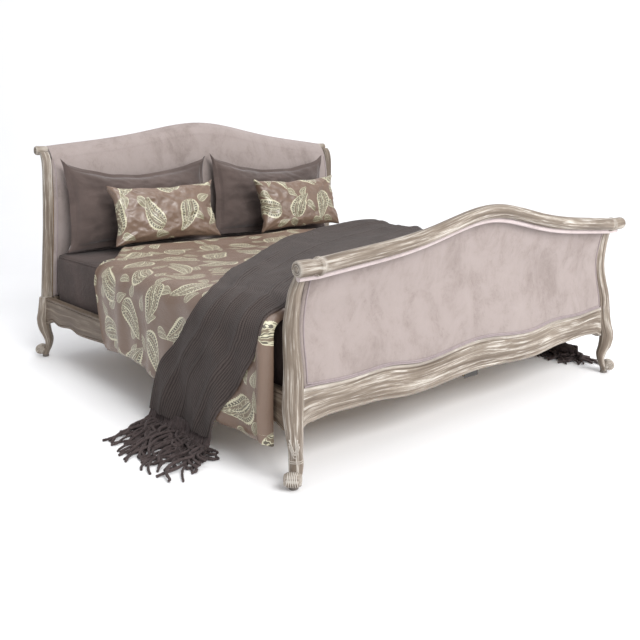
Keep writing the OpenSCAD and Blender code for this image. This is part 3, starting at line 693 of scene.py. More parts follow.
TOE_DISC = [(0.018, 0.0205), (0.024, 0.0212), (0.028, 0.0205), (0.030, 0.0185), (0.0305, 0.016),
            (0.0295, 0.013), (0.0290, 0.007), (0.0300, 0.0055), (0.0312, 0.003), (0.0314, 0.0005)]
FLUTES = ((-0.017, 0.5), (-0.010, 0.3), (-0.003, 0.1), (0.004, -0.1), (0.011, -0.3), (0.018, -0.5))


def drum_radius(along, widest):
    return widest * math.sqrt(1 - 0.16 * (along / 0.023) ** 2)


def toe(side, end):
    """Scrolled toe: a swelling drum with a rounded volute and a raised spiral on each side."""
    centre = Vector((side * (POST_X + 0.051), end * (0.047 - FOOT_WAIST), GLIDE_H + 0.027))
    axis = Vector((side, -end, 0)).normalized()
    drum = [(-0.024, 0.0205), (-0.0225, 0.0235)]
    drum += [(s, drum_radius(s, 0.0262)) for s in np.linspace(-0.021, 0.021, 9)]
    drum += [(0.0225, 0.0235), (0.024, 0.0205)]
    made = [lathe("drum", drum, centre, axis, LIMED_OAK)]
    for way in (-1, 1):
        made.append(lathe("disc", TOE_DISC, centre, axis * way, LIMED_OAK))
        path = spiral(centre + axis * way * 0.0298, axis * way, -0.6, 1.6, 0.0165, 0.004)
        made.append(tube("curl", path, np.linspace(0.0022, 0.0014, len(path)), LIMED_OAK, 8))
    ahead, up = Vector((side, end, 0)).normalized(), Vector((0, 0, 1))
    for place, lean in FLUTES:
        strand = []
        for t in np.linspace(-0.9, 1.9, 17):
            along = place + lean * 0.005 * math.sin(t * 2.2)
            r = drum_radius(along, 0.0264)
            strand.append(centre + axis * along + ahead * math.cos(t) * r + up * math.sin(t) * r)
        thick = 0.0021 * np.sin(np.linspace(0.3, math.pi - 0.3, 17))
        made.append(tube("leaf", strand, thick, LIMED_OAK, 6))
    return made


def leg_carving(rings):
    """Chevrons on the front of a leg, and two raised bands under them."""
    def spot(z, degrees):
        i = int(np.argmin(np.abs(rings[:, 0, 2] - z)))
        return rings[i, int(round(degrees / 360 * rings.shape[1])) % rings.shape[1]]

    made = []
    for low, wide in ((0.112, 34), (0.124, 30), (0.137, 24)):
        path = [spot(low + abs(t) * 0.050, t * wide) for t in np.linspace(-1, 1, 13)]
        made.append(tube("chevron", smooth(path, 2), 0.0021, LIMED_OAK, 7))
    for z in (0.096, 0.088):
        path = [spot(z + 0.004 * abs(t) ** 2, t * 72) for t in np.linspace(-1, 1, 15)]
        made.append(tube("band", smooth(path, 2), 0.0018, LIMED_OAK, 7))
    return made


def carved_leg(name, rows, side, end):
    """Leg with its carving and its toe, at the foot end (-1) or the head end (1)."""
    upright = upright_rings(rows)
    turned = upright if end < 0 else mirrored(upright, 1)
    leg = recalc(loft(name, both_sides(turned, side), LIMED_OAK))
    return joined(name, [leg] + leg_carving(upright * (side, -end, 1)) + toe(side, end))


GLIDE_PAD = [(0, 0.0145), (0.001, 0.0165), (0.006, 0.017), (0.0075, 0.0158), (0.009, 0.0158),
             (0.0136, 0.0165)]
for side, word in SIDES:
    placed(carved_leg(f"foot_post_{word}", POST_ROWS + LEG_ROWS, side, -1),
           f"footboard_post_{word}", slot="limed_oak")
    placed(carved_leg(f"head_leg_{word}_carved", HEAD_LEG_TOP + LEG_ROWS, side, 1),
           f"head_leg_{word}", slot="limed_oak")
    for end, place in ((-1, "foot"), (1, "head")):
        under = (side * (POST_X + 0.035), end * (0.032 - FOOT_WAIST), 0)
        glide = lathe(f"glide_pad_{place}_{word}", GLIDE_PAD, under, (0, 0, 1), GLIDE.material, 48)
        placed(glide, f"glide_{place}_{word}", slot="glide_plastic")


def foot_reach(z):
    """Half the distance between the foot posts at a height."""
    rings = upright_rings(POST_ROWS + LEG_ROWS, 3, 24)
    order = np.argsort(rings[:, 0, 2])
    return np.interp(z, rings[order, 0, 2], rings[order][:, :, 0].min(1))


def roll_section(count=44):
    """Comma section of the foot roll about its centre: (towards the bed, up)."""
    r = FOOT_ROLL_R
    back = foot_face(1) + PANEL_T + FOOT_ROLL_Y * -1
    nose = [(-r * math.cos(a), r * math.sin(a)) for a in np.radians(np.linspace(-118, 112, count))]
    tail = smooth([(nose[-1][0], nose[-1][1]), (0.030, 0.0185), (0.050, 0.006), (0.066, -0.007),
                   (back - 0.0005, -0.016), (back, -0.0225), (back - 0.003, -0.0232)], 5)
    under = smooth([(back - 0.003, -0.0232), (foot_face(1) - FOOT_ROLL_Y, -0.0232), (0.024, -0.0225),
                    (nose[0][0], nose[0][1])], 3)
    return np.array(list(nose) + list(tail[1:]) + list(under[1:-1]))


ROLL_END = PANEL_X - 0.022
stations = np.linspace(-ROLL_END, ROLL_END, 141)
section = roll_section()
rings = [np.stack([np.full(len(section), x), FOOT_ROLL_Y + section[:, 0],
                   foot_crest(x) - FOOT_ROLL_R + section[:, 1]], 1) for x in stations]
roll = recalc(loft("foot_roll", rings, LIMED_OAK, sharp=50))
placed(roll, "footboard_top_rail", slot="limed_oak")

COLLAR = [(0, 0.0285), (0.002, 0.0318), (0.006, 0.0335), (0.012, 0.0335), (0.016, 0.0318), (0.018, 0.0295),
          (0.020, 0.0280), (0.024, 0.0268), (0.030, 0.0262), (0.036, 0.0268), (0.042, 0.0285),
          (0.048, 0.0290), (0.090, 0.0290), (0.097, 0.0284), (0.102, 0.0262), (0.104, 0.0230),
          (0.1035, 0.0205), (0.101, 0.0185), (0.1005, 0.0110), (0.102, 0.0085), (0.105, 0.0070),
          (0.1065, 0.0040), (0.107, 0.0004)]
HEAD_CAP = [(0, 0.0238), (0.040, 0.0238), (0.044, 0.0242), (0.052, 0.0240), (0.057, 0.0225),
            (0.060, 0.0195), (0.0595, 0.0170), (0.0565, 0.0155), (0.056, 0.0090), (0.0575, 0.0070),
            (0.0605, 0.0050), (0.0612, 0.0004)]
for side, word in SIDES:
    centre = (side * ROLL_END, FOOT_ROLL_Y, FOOT_END - FOOT_ROLL_R)
    drum = lathe("drum", COLLAR, centre, (side, 0, 0), LIMED_OAK)
    face = Vector(centre) + Vector((side * 0.1022, 0, 0))
    curl = tube("curl", spiral(face, (side, 0, 0), 1.2, 1.5, 0.0215, 0.009), 0.0020, LIMED_OAK, 8)
    placed(joined(f"foot_scroll_{word}", [drum, curl]), f"footboard_scroll_{word}", slot="limed_oak")
    centre = (side * (PANEL_X + 0.002), HEAD_ROLL_Y, HEAD_END - HEAD_ROLL_R)
    cap = lathe(f"head_scroll_{word}", HEAD_CAP, centre, (side, 0, 0), LIMED_OAK)
    placed(cap, f"headboard_scroll_{word}", slot="limed_oak")


def board(name, stations, section, material):
    """Board lofted across the bed through section(x), a list of (y, z, share of x) round it."""
    rings = [[(x * reach, y, z) for y, z, reach in section(x)] for x in stations]
    return recalc(loft(name, rings, material, sharp=42))


def between_posts(rows, sunk):
    """Section rows with the share of x at which each meets the posts, let in by a little."""
    width = foot_reach(np.array([z for _, z in rows])) / PANEL_X + sunk
    return [(y, z, w) for (y, z), w in zip(rows, width)]


def foot_apron_section(x):
    front, top, low = foot_face(0) - 0.002, foot_apron_top(x), foot_apron_low(x)
    back = front + PANEL_T + 0.002
    rows = [(front + 0.012, low - 0.0005), (front + 0.005, low + 0.001), (front + 0.001, low + 0.005),
            (front, low + 0.010), (front + 0.0005, low + 0.016), (front + 0.003, low + 0.019),
            (front + 0.001, low + 0.022)]
    rows += [(front + 0.0005 - 0.003 * math.sin(math.pi * t), low + 0.022 + (top - low - 0.044) * t)
             for t in np.linspace(0.08, 0.92, 8)]
    rows += [(front + 0.0005, top - 0.022), (front + 0.0035, top - 0.019), (front + 0.0005, top - 0.016),
             (front - 0.0015, top - 0.010), (front, top - 0.003), (front + 0.004, top),
             (front + 0.010, top), (back - 0.003, top), (back, top - 0.003), (back, (top + low) / 2),
             (back, low + 0.003), (back - 0.003, low)]
    return between_posts(rows, 0.006)


APRON_X = np.linspace(-PANEL_X, PANEL_X, 121)
placed(board("foot_apron", APRON_X, foot_apron_section, LIMED_OAK),
       "footboard_bottom_rail", slot="limed_oak")


def head_apron_section(x):
    front, top, low = float(head_face(0)), RAIL_TOP, foot_apron_low(x)
    back = front + PANEL_T
    rows = [(front + 0.003, low), (front, low + 0.003), (front, (top + low) / 2), (front, top - 0.003),
            (front + 0.003, top), (back - 0.006, top), (back - 0.001, top - 0.004), (back, top - 0.010),
            (back - 0.003, top - 0.013), (back, top - 0.017), (back, (top + low) / 2),
            (back, low + 0.016), (back - 0.003, low + 0.012), (back, low + 0.008),
            (back - 0.003, low + 0.001), (back - 0.010, low)]
    return between_posts(rows, 0.004)


placed(board("head_apron", APRON_X, head_apron_section, RAIL_OAK_AND_SHADE),
       "headboard_bottom_rail", slot="rail_oak")


def side_rail_ring(y):
    """Section of a side rail: a bead along the top, a groove under it, and a swelling face."""
    low, top, out = float(side_low(y)), RAIL_TOP, OUTER_X
    rows = [(INNER_X, low + 0.002), (INNER_X + 0.003, low), (out - 0.008, low), (out - 0.003, low + 0.002),
            (out - 0.001, low + 0.006), (out - 0.001, low + 0.012), (out - 0.0035, low + 0.0145),
            (out - 0.001, low + 0.017)]
    rows += [(out - 0.001 + 0.001 * math.sin(math.pi * t), low + 0.017 + (top - 0.016 - low - 0.017) * t)
             for t in np.linspace(0.1, 0.9, 7)]
    rows += [(out - 0.001, top - 0.0155), (out - 0.004, top - 0.0130), (out - 0.0042, top - 0.0115),
             (out - 0.001, top - 0.0095)]
    rows += [(out - 0.004 + 0.004 * math.cos(a), top - 0.005 + 0.005 * math.sin(a))
             for a in np.radians(np.linspace(-40, 90, 8))]
    rows += [(INNER_X + 0.002, top), (INNER_X, top - 0.002)]
    return [(x, y, z) for x, z in rows]


RAIL_Y = np.linspace(-1.062, 1.062, 151)
for side, word in SIDES:
    rings = both_sides([side_rail_ring(y) for y in RAIL_Y], side)
    placed(recalc(loft(f"rail_{word}", rings, RAIL_OAK_AND_SHADE, sharp=42)), f"side_rail_{word}", slot="rail_oak")

STILE_Y = HEAD_FACE + PANEL_T / 2
SCROLL_Z = HEAD_END - HEAD_ROLL_R
STILE_ROWS = [(0, 22, 6, 26, 24), (0.214, 14, 0, 24, 23), (0.495, 8, -22, 23, 22), (0.783, 5, -36, 22, 22),
              (0.898, 4, -36, 22, 21), (0.962, 4, -22, 22, 20), (0.99, 4, -4, 22, 16)]


def stile_rings(steps=14, around=72):
    angles = turn(around)
    lines = ridges(angles, (-70, -110, 70, 110), 5.0)
    rings = []
    for t, out, deep, a, b in smooth(STILE_ROWS, steps):
        p = squircle(angles, a, b, 4) * (1 - 0.06 * lines)[:, None]
        rings.append(np.stack([POST_X + (out + p[:, 0]) * MM, STILE_Y + (deep + p[:, 1]) * MM,
                               np.full(around, RAIL_TOP + (SCROLL_Z - RAIL_TOP) * t)], 1))
    return np.array(rings)


def head_reach(z):
    """Half the distance between the head stiles at a height."""
    rings = stile_rings(3, 24)
    return np.interp(z, rings[:, 0, 2], rings[:, :, 0].min(1))


for side, word in SIDES:
    stile = recalc(loft(f"head_stile_{word}", both_sides(stile_rings(), side), LIMED_OAK))
    placed(stile, f"headboard_stile_{word}", slot="limed_oak")

# --- upholstery ------------------------------------------------------------------------------


def padded(obj, fill, *replaced, slot):
    """A stuffed piece that stands for these CAD nodes."""
    placed(obj, *replaced, slot=slot)
    return obj


def panel_pad(name, z_at, face, reach, near, far, proud, material, open_top=False):
    """Upholstered layer of a panel with rolled edges and a crowned face."""
    ts = ease(np.linspace(0, 1, 49)) * 0.6 + np.linspace(0, 1, 49) * 0.4
    us = closing_in(121, 0.35)
    rings = []
    for u in us:
        x = u * PANEL_X
        z = z_at(x, ts)
        inner = reach(z) - 0.0012
        ends = ts if open_top else np.minimum(ts, 1 - ts)
        round_t = np.minimum(ends * (z[-1] - z[0]) / 0.012, 1)
        round_u = min((1 - abs(u)) * PANEL_X / 0.012, 1)
        round_off = np.sqrt(1 - (1 - np.minimum(round_t, round_u)) ** 2)
        crown = (1 - np.abs(2 * ts - 1) ** 5) * (1 - abs(u) ** 9)
        half = (far - near) / 2
        rows = [noise.noise(Vector((u * 5, float(t) * 3, near * 40))) * 0.0012 for t in ts]
        swell = proud * (0.35 + 0.65 * crown) + np.array(rows) * crown
        out = half - (half + swell) * (0.25 + 0.75 * round_off)
        if near > 0:
            front, back = half + near + 0 * ts, near + half - out + half
        else:
            front, back = out, half + half * (0.35 + 0.65 * round_off)
        side = u * inner
        y = face(ts)
        rings.append(np.concatenate([np.stack([side, y + front, z], 1),
                                     np.stack([side, y + back, z], 1)[::-1]]))
    return recalc(loft(name, rings, material, sharp=60))


PANELS = {"foot": (foot_z, foot_face, foot_reach), "head": (head_z, head_face, head_reach)}
FRONT, BACK = (0.0, PAD), (PANEL_T - PAD, PANEL_T)
for end, word, layer, proud in (("foot", "front", FRONT, 0.004), ("foot", "back", BACK, 0.0015),
                                ("head", "front", FRONT, 0.003), ("head", "back", BACK, 0.003)):
    pad = panel_pad(f"{end}_pad_{word}", *PANELS[end], *layer, proud, PANEL_VELVET, end == "head")
    padded(pad, 0.9, f"{end}board_pad_{word}", slot="panel_velvet")


def edge_piping(name, z_at, face, reach, inset, side, radius=0.0034):
    """Piping that follows the sides and the bottom of a panel, a little in from its edges."""
    half = reach(z_at(PANEL_X, 0)) - inset
    low = [(u * half, float(face(0)) + side, float(z_at(u * PANEL_X, 0)) + inset * 0.55)
           for u in np.linspace(-1, 1, 90)]
    left = [(-(reach(z_at(PANEL_X, t)) - inset), float(face(t)) + side, float(z_at(PANEL_X, t)))
            for t in np.linspace(0.985, 0, 60)]
    left = [p for p in left if p[2] > low[0][2]]
    path = left + low[1:-1] + [(-x, y, z) for x, y, z in reversed(left)]
    return placed(tube(name, path, radius, PIPING, 10), slot="welt_velvet")


PIPING_IN = 0.016
edge_piping("foot_piping", *PANELS["foot"], PIPING_IN, -0.0022)
edge_piping("head_piping", *PANELS["head"], PIPING_IN, -0.0015)
edge_piping("head_back_piping", *PANELS["head"], PIPING_IN, PANEL_T + 0.0015)

# The welt lies under the roll, this far from its centre and this steeply below it.
WELT_OFF, WELT_BELOW = 0.0404, math.radians(68)
path = [(x, FOOT_ROLL_Y + WELT_OFF * math.cos(WELT_BELOW),
         foot_crest(min(abs(x), ROLL_END)) - FOOT_ROLL_R - WELT_OFF * math.sin(WELT_BELOW))
        for x in np.linspace(-PANEL_X - 0.062, PANEL_X + 0.062, 160)]
placed(tube("foot_welt", path, 0.0108, WELT_VELVET, 20), "footboard_welt", slot="welt_velvet")
path = [(x, foot_face(0) - 0.0035, foot_apron_top(x) + 0.0035)
        for x in np.linspace(-PANEL_X - 0.012, PANEL_X + 0.012, 140)]
placed(tube("foot_low_piping", path, 0.0032, PIPING, 10), slot="welt_velvet")


def head_cover_ring(x):
    """Section of the cover that turns back from the head panel and over the roll."""
    crest, y, r = head_crest(x), float(head_face(1)), HEAD_ROLL_R
    z = crest - r
    base = crest - 3 * r
    front = [(y - 0.00105, base - 0.001), (y + 0.0022, base + 0.010), (y + 0.014, base + 0.029),
             (y + 0.036, base + 0.052)]
    nose = [(HEAD_ROLL_Y + r * math.cos(a), z + r * math.sin(a))
            for a in np.radians(np.linspace(104, -110, 26))]
    back = [(y + PANEL_T + 0.013, base + 0.009), (y + PANEL_T + 0.00105, base - 0.001)]
    outline = smooth(front + nose[:1], 6)
    return [(x, a, b) for a, b in list(outline[:-1]) + nose + back]


rings = [head_cover_ring(x) for x in np.linspace(-PANEL_X - 0.001, PANEL_X + 0.001, 141)]
padded(recalc(loft("head_roll_cover", rings, PANEL_VELVET, sharp=60)), 0.9,
       "headboard_top_roll", slot="panel_velvet")

# --- mattress, duvet and throw -----------------------------------------------------------------


def rounded_rectangle(w, l, r, count=14):
    out = []
    for sx, sy, start in ((1, 1, 0), (-1, 1, 90), (-1, -1, 180), (1, -1, 270)):
        for a in np.radians(np.linspace(start, start + 90, count)):
            out.append((sx * (w - r) + r * math.cos(a), sy * (l - r) + r * math.sin(a)))
    return np.array(out)


def mattress_cover():
    """Mattress in its fitted sheet: rounded edges, faintly bulging sides and two corded seams."""
    mid, half = (mattress_lo + mattress_hi) / 2, (mattress_hi - mattress_lo) / 2
    edge = 0.035

    def band(z, inset, radius, count=14):
        p = rounded_rectangle(half.x - inset, half.y - inset, radius, count)
        return np.stack([p[:, 0] + mid.x, p[:, 1] + mid.y, np.full(len(p), z)], 1)

    turned = [(edge * (1 - math.cos(a)), edge * (1 - math.sin(a))) for a in np.linspace(0, math.pi / 2, 9)]
    levels = [(DECK, 0.30), (DECK, 0.15)] + [(DECK + up, inset) for up, inset in turned]
    levels += [(DECK + 0.10, -0.002), (DECK + 0.15, -0.003), (MATTRESS_TOP - 0.10, -0.002)]
    levels += [(MATTRESS_TOP - up, inset) for up, inset in reversed(turned)]
    levels += [(MATTRESS_TOP, 0.15), (MATTRESS_TOP, 0.30)]
    rings = [band(z, inset, max(0.075 - inset, 0.03)) for z, inset in levels]
    made = [recalc(loft("mattress_cover", rings, FITTED_SHEET, sharp=60))]
    for z in (DECK + 0.012, MATTRESS_TOP - 0.012):
        p = band(z, 0.008, 0.070, 20)
        made.append(tube("cord", np.vstack([p, p[:1]]), 0.004, FITTED_SHEET, 8))
    return joined("mattress_cover", made)


padded(mattress_cover(), 0.95, "mattress", slot="fitted_sheet")

BEND_X, BEND_Z, BEND_R = 0.968, 0.522, 0.090
DUVET_T = 0.040
ARC = BEND_X + BEND_R * math.pi / 2


def hang_arc(z):
    """Place across the cloth of a point on the hanging side at a height."""
    return ARC + BEND_Z - z


def folds(a, y):
    """How far the bedding stands proud: low billows on top, upright folds where it hangs."""
    hang = np.clip((abs(a) - BEND_X) / 0.5, 0, 1)
    p, q = 0.8 * a + 0.6 * y, 0.8 * y - 0.6 * a
    top = 0.020 * noise.noise(Vector((p * 1.2, q * 4.0, 4.0)))
    top += 0.012 * (0.25 - abs(noise.noise(Vector((p * 2.2, q * 7.0, 1.0)))))
    top += 0.003 * noise.noise(Vector((a * 15, y * 15, 2.0)))
    top *= 1 - 0.6 * np.clip((y - 0.45) / 0.2, 0, 1)
    top += 0.024 * math.exp(-(((y - 0.55) / 0.07) ** 2))
    phase = y * 17 + 2.2 * noise.noise(Vector((a * 0.9, y * 1.6, 7.0))) + (a > 0) * 1.3
    side = 0.013 * math.sin(phase) + 0.007 * math.sin(phase * 2.3 + a * 2)
    side += 0.014 * noise.noise(Vector((y * 3, a, 9))) + 0.004 * noise.noise(Vector((y * 11, a * 7, 5)))
    return (1 - hang) * top + hang**0.8 * side


def cloth_point(a, y, h):
    """Point of the bedding: a across from the bed's middle, y along it, h out from the mattress side."""
    side, reach = (1 if a >= 0 else -1), abs(a)
    inner = BEND_R - DUVET_T
    if reach <= BEND_X:
        return (a, y, BEND_Z + inner + h)
    if reach <= ARC:
        phi = (reach - BEND_X) / BEND_R
        return (side * (BEND_X + (inner + h) * math.sin(phi)), y, BEND_Z + (inner + h) * math.cos(phi))
    return (side * (BEND_X + inner + h), y, BEND_Z - (reach - ARC))


# Height of the left hem: (along the bed, height).
LEFT_HEM = [(-1.000, 0.130), (-0.930, 0.123), (-0.855, 0.122), (-0.6, 0.145), (-0.317, 0.169),
            (-0.100, 0.200), (0.077, 0.222), (0.280, 0.205)]
TURN_Y, DUVET_HEAD, DUVET_FOOT = 0.280, 0.730, -1.000


def left_reach(y):
    """How far across the cloth reaches on the left: it hangs, then is turned back near the pillows."""
    if y <= TURN_Y:
        ys, zs = np.array(LEFT_HEM).T
        return hang_arc(np.interp(y, ys, zs))
    t = (y - TURN_Y) / 0.065
    if t < 1:
        return hang_arc(0.205) * (1 - ease(t)) + 0.965 * ease(t)
    return 0.965 - 0.27 * (y - TURN_Y - 0.065) / (DUVET_HEAD - TURN_Y - 0.065)


def right_reach(y):
    return hang_arc(0.236 + 0.012 * math.sin(y * 4) - 0.006 * math.sin(y * 9))


def cloth_shell(name, outer, inner, uvs, shape, material, sharp):
    """Closed cloth from two grids of points, one over the other, joined round their rim."""
    m, n = shape
    k = m * n
    faces = []
    for i in range(m - 1):
        for j in range(n - 1):
            q = [i * n + j, i * n + j + 1, (i + 1) * n + j + 1, (i + 1) * n + j]
            faces += [q, [v + k for v in reversed(q)]]
    rim = (list(range(n)) + [i * n + n - 1 for i in range(1, m)]
           + [(m - 1) * n + j for j in range(n - 2, -1, -1)] + [i * n for i in range(m - 2, 0, -1)])
    faces += [[q, p, p + k, q + k] for p, q in zip(rim, rim[1:] + rim[:1])]
    flat = [uvs[v % k] for face in faces for v in face]
    return recalc(new_object(name, outer + inner, faces, material, flat, sharp))


def rounded_off(edge, radius):
    """Fullness of a layer near its edge, from 0 at the edge to 1 at a radius from it."""
    return math.sqrt(max(0, 1 - (1 - min(edge / radius, 1)) ** 2))


def duvet():
    ys = np.unique(np.concatenate([np.linspace(DUVET_FOOT, TURN_Y - 0.01, 110),
                                   np.linspace(TURN_Y - 0.01, TURN_Y + 0.08, 18),
                                   np.linspace(TURN_Y + 0.08, DUVET_HEAD, 42)]))
    ss = np.linspace(0, 1, 191)
    outer, inner, uvs = [], [], []
    for y in ys:
        left, right = left_reach(y), right_reach(y)
        for s in ss:
            a = -left + s * (left + right)
            edge = min(s * (left + right), (1 - s) * (left + right), (y - DUVET_FOOT) * 1.3, DUVET_HEAD - y)
            full = rounded_off(edge, 0.035)
            roll = 0.012 * math.exp(-((y - DUVET_FOOT - 0.03) / 0.028) ** 2)
            roll *= min(1, max(0, (-a - 0.9) * 4))
            hem = 0.004 * math.exp(-((edge - 0.03) / 0.012) ** 2)
            lift = folds(a, y)
            base = 0.002 + max(0, lift) * 0.35 if abs(a) > BEND_X else 0.0015
            thick = DUVET_T - 0.006 + lift + roll + hem - base
            outer.append(cloth_point(a, y, base + 0.003 + thick * (0.12 + 0.88 * full)))
            inner.append(cloth_point(a, y, base))
            uvs.append((a, y))
    return cloth_shell("duvet_cover", outer, inner, uvs, (len(ys), len(ss)), DUVET_SATIN, 70)


padded(duvet(), 0.25, "duvet", slot="duvet_satin")

# Rows across the throw: its head-side edge and its foot-side edge, each as (across, along).
THROW_ROWS = [
    (-1.559, -0.210, -1.559, -0.660), (-1.361, -0.290, -1.361, -0.800),
    (-1.161, -0.490, -1.161, -0.960),
    (-1.050, -0.580, -1.050, -0.985), (-0.960, -0.540, -0.960, -0.975), (-0.710, -0.281, -0.769, -0.817),
    (-0.113, 0.200, -0.160, -0.430), (0.400, 0.500, 0.450, -0.120), (0.960, 0.590, 0.960, 0.060),
    (1.050, 0.560, 1.050, 0.040), (1.151, 0.480, 1.151, -0.030), (1.371, 0.100, 1.371, -0.420),
    (1.559, -0.440, 1.559, -0.900)]
THROW_T, THROW_W = 0.011, 0.52


def throw():
    rows = smooth(THROW_ROWS, 16)
    vs = np.linspace(0, 1, 61)
    outer, inner, uvs = [], [], []
    along = 0
    before = None
    for row in rows:
        middle = np.array([(row[0] + row[2]) / 2, (row[1] + row[3]) / 2])
        along += 0 if before is None else float(np.linalg.norm(middle - before))
        before = middle
        width = math.hypot(row[0] - row[2], row[1] - row[3])
        for v in vs:
            wobble = 0.006 * noise.noise(Vector((along * 5, v * 2, 3)))
            a = row[0] + (row[2] - row[0]) * v
            y = row[1] + (row[3] - row[1]) * v + wobble
            edge = min(v, 1 - v) * width
            full = rounded_off(edge, 0.010)
            ridge = 0.0045 * math.exp(-(((v - 0.47) * width) / 0.006) ** 2)
            pleat = 0.010 * math.exp(-(((v - 0.22 - 0.05 * math.sin(along * 2)) * width) / 0.022) ** 2)
            pleat += 0.009 * math.exp(-(((v - 0.78 + 0.04 * math.sin(along * 3)) * width) / 0.018) ** 2)
            pleat *= 0.9 + 0.5 * math.sin(along * 2.2)
            pleat += 0.007 * noise.noise(Vector((along * 1.4, v * 7, 6)))
            sit = DUVET_T + 0.0035 + folds(a, y)
            thick = THROW_T + pleat * 0.9 + ridge
            outer.append(cloth_point(a, y, sit + 0.0012 + thick * (0.1 + 0.9 * full)))
            inner.append(cloth_point(a, y, sit))
            uvs.append((along, v * THROW_W))
    cloth = cloth_shell("throw_knitted", outer, inner, uvs, (len(rows), len(vs)), THROW_KNIT, 60)
    return cloth, along


throw_cloth, THROW_LENGTH = throw()
placed(throw_cloth, "throw_blanket", slot="throw_knit")


def fringe(name, side, y_low, y_high, x_near, x_far, lean, count, seed):
    """Twisted cords that hang from a hem and lie heaped on the floor."""
    rng = random.Random(seed)
    hem_x = BEND_X + BEND_R + 0.007
    made = []
    for i in range(count):
        y = y_low + (y_high - y_low) * (i + rng.random() * 0.7) / count
        r = rng.uniform(0.0044, 0.0056)
        level = r + rng.uniform(0, 1) ** 1.2 * 0.042
        x_end = rng.uniform(x_near, x_far)
        y_end = y + lean * rng.uniform(0.3, 1.2) + rng.uniform(-0.07, 0.07)
        swing, turns = rng.uniform(0.015, 0.040), rng.uniform(0.7, 1.8)
        phase = rng.uniform(0, 6.28)
        jut = rng.uniform(0.0, 0.008)
        path = [(hem_x + jut * 0.3, y, 0.088), (hem_x + jut, y, 0.066),
                (hem_x + 0.006 + jut * 2, y + lean * 0.03, 0.040),
                (hem_x + 0.022 + jut, y + lean * 0.08, 0.018 + level * 0.5)]
        for t in np.linspace(0.12, 1, 9):
            fall = level * (1 - t**2) + r * t**2
            angle = phase + turns * 6.28 * t
            x = hem_x + 0.02 + (x_end - hem_x - 0.02) * t + swing * math.sin(angle) * (t > 0.15) * 0.6
            path.append((x, y + (y_end - y) * t + swing * math.cos(angle) * t, max(r, fall)))
        path = smooth([(side * p[0], p[1], p[2]) for p in path], 3)
        path[:, 2] = np.maximum(path[:, 2], r)
        twist = 1 + 0.10 * np.sin(np.arange(len(path)) * 2.1 + phase)
        made.append(tube("cord", path, r * twist, THROW_FRINGE, 7))
    return placed(joined(name, made), name.replace("cords", "fringe"), slot="throw_fringe")


fringe("throw_cords_left", -1, -0.655, -0.215, 1.05, 1.325, -0.06, 170, 3)
fringe("throw_cords_right", 1, -0.895, -0.445, 0.975, 1.192, -0.05, 150, 8)

# --- pillows ---------------------------------------------------------------------------------


def spun(points, first, second, angle):
    """Points turned about the origin from one axis towards another."""
    p, q = points[:, first].copy(), points[:, second].copy()
    out = points.copy()
    out[:, first] = p * math.cos(angle) - q * math.sin(angle)
    out[:, second] = p * math.sin(angle) + q * math.cos(angle)
    return out


def pillow(name, size, centre, tilt, yaw, roll, material, flange, seed, sag):
    """Stuffed cover with pulled-in sides, creases from its corners, and a flat flange if it has one."""
    width, height, depth = size
    nu, nv = 76, 48
    us, vs = closing_in(nu, 0.4), closing_in(nv, 0.4)
    points, uvs, index = [], [], {}
    for face in (1, -1):
        for i, u in enumerate(us):
            for j, v in enumerate(vs):
                rim = i in (0, nu - 1) or j in (0, nv - 1)
                if face < 0 and rim:
                    index[face, i, j] = index[1, i, j]
                    continue
                edge = min((1 - abs(u)) * width / 2, (1 - abs(v)) * height / 2)
                p, q = u, v
                if flange:
                    p = max(-1, min(1, u / (1 - 2 * flange / width)))
                    q = max(-1, min(1, v / (1 - 2 * flange / height)))
                body = max(0, (1 - p * p) * (1 - q * q)) ** 0.42
                crease = noise.noise(Vector((u * 2.2 + seed, v * 2.0, face))) * 0.013
                crease += abs(noise.noise(Vector((u * 5 + seed, v * 4.0, face * 2)))) * -0.015
                crease += noise.noise(Vector((u * 13, v * 11 + seed, face * 3))) * 0.003
                corner = abs(u * v) ** 1.5
                fan = 0.006 * math.sin(math.atan2(1.05 - abs(v), 1.05 - abs(u)) * 16 + seed) * corner
                half = (depth / 2 - 0.003) * body * 0.97 + (crease + fan) * min(1, body * 1.4) + 0.0028
                half = 0 if rim else half
                wave_y = 0.005 * math.sin(u * 9 + seed) * abs(v) ** 6
                wave_y += 0.005 * math.sin(v * 8 + seed) * abs(u) ** 6
                pinch = 0.050 if flange else 0.070
                x = width / 2 * u * (1 - pinch * (1 - v * v))
                z = height / 2 * v * (1 - (3.0 if flange and v > 0 else 1) * pinch * (1 - u * u))
                z -= sag * (1 - u * u) * max(0, v) ** 2
                z -= 0.006 * noise.noise(Vector((u * 4, seed, v))) * abs(v)
                index[face, i, j] = len(points)
                points.append((x, -face * max(half, 0) + wave_y, z))
                uvs.append((x + seed, z))
    faces, flat = [], []
    for face in (1, -1):
        for i in range(nu - 1):
            for j in range(nv - 1):
                q = [index[face, i + p, j + r] for p, r in ((0, 0), (1, 0), (1, 1), (0, 1))][::face]
                faces.append(q)
                flat += [uvs[w] for w in q]
    points = np.array(points)
    for first, second, degrees in ((2, 0, roll), (1, 2, tilt), (0, 1, yaw)):
        points = spun(points, first, second, math.radians(degrees))
    return recalc(new_object(name, points + np.array(centre), faces, material, flat, 80))


PLUMP_FRAMES = 14


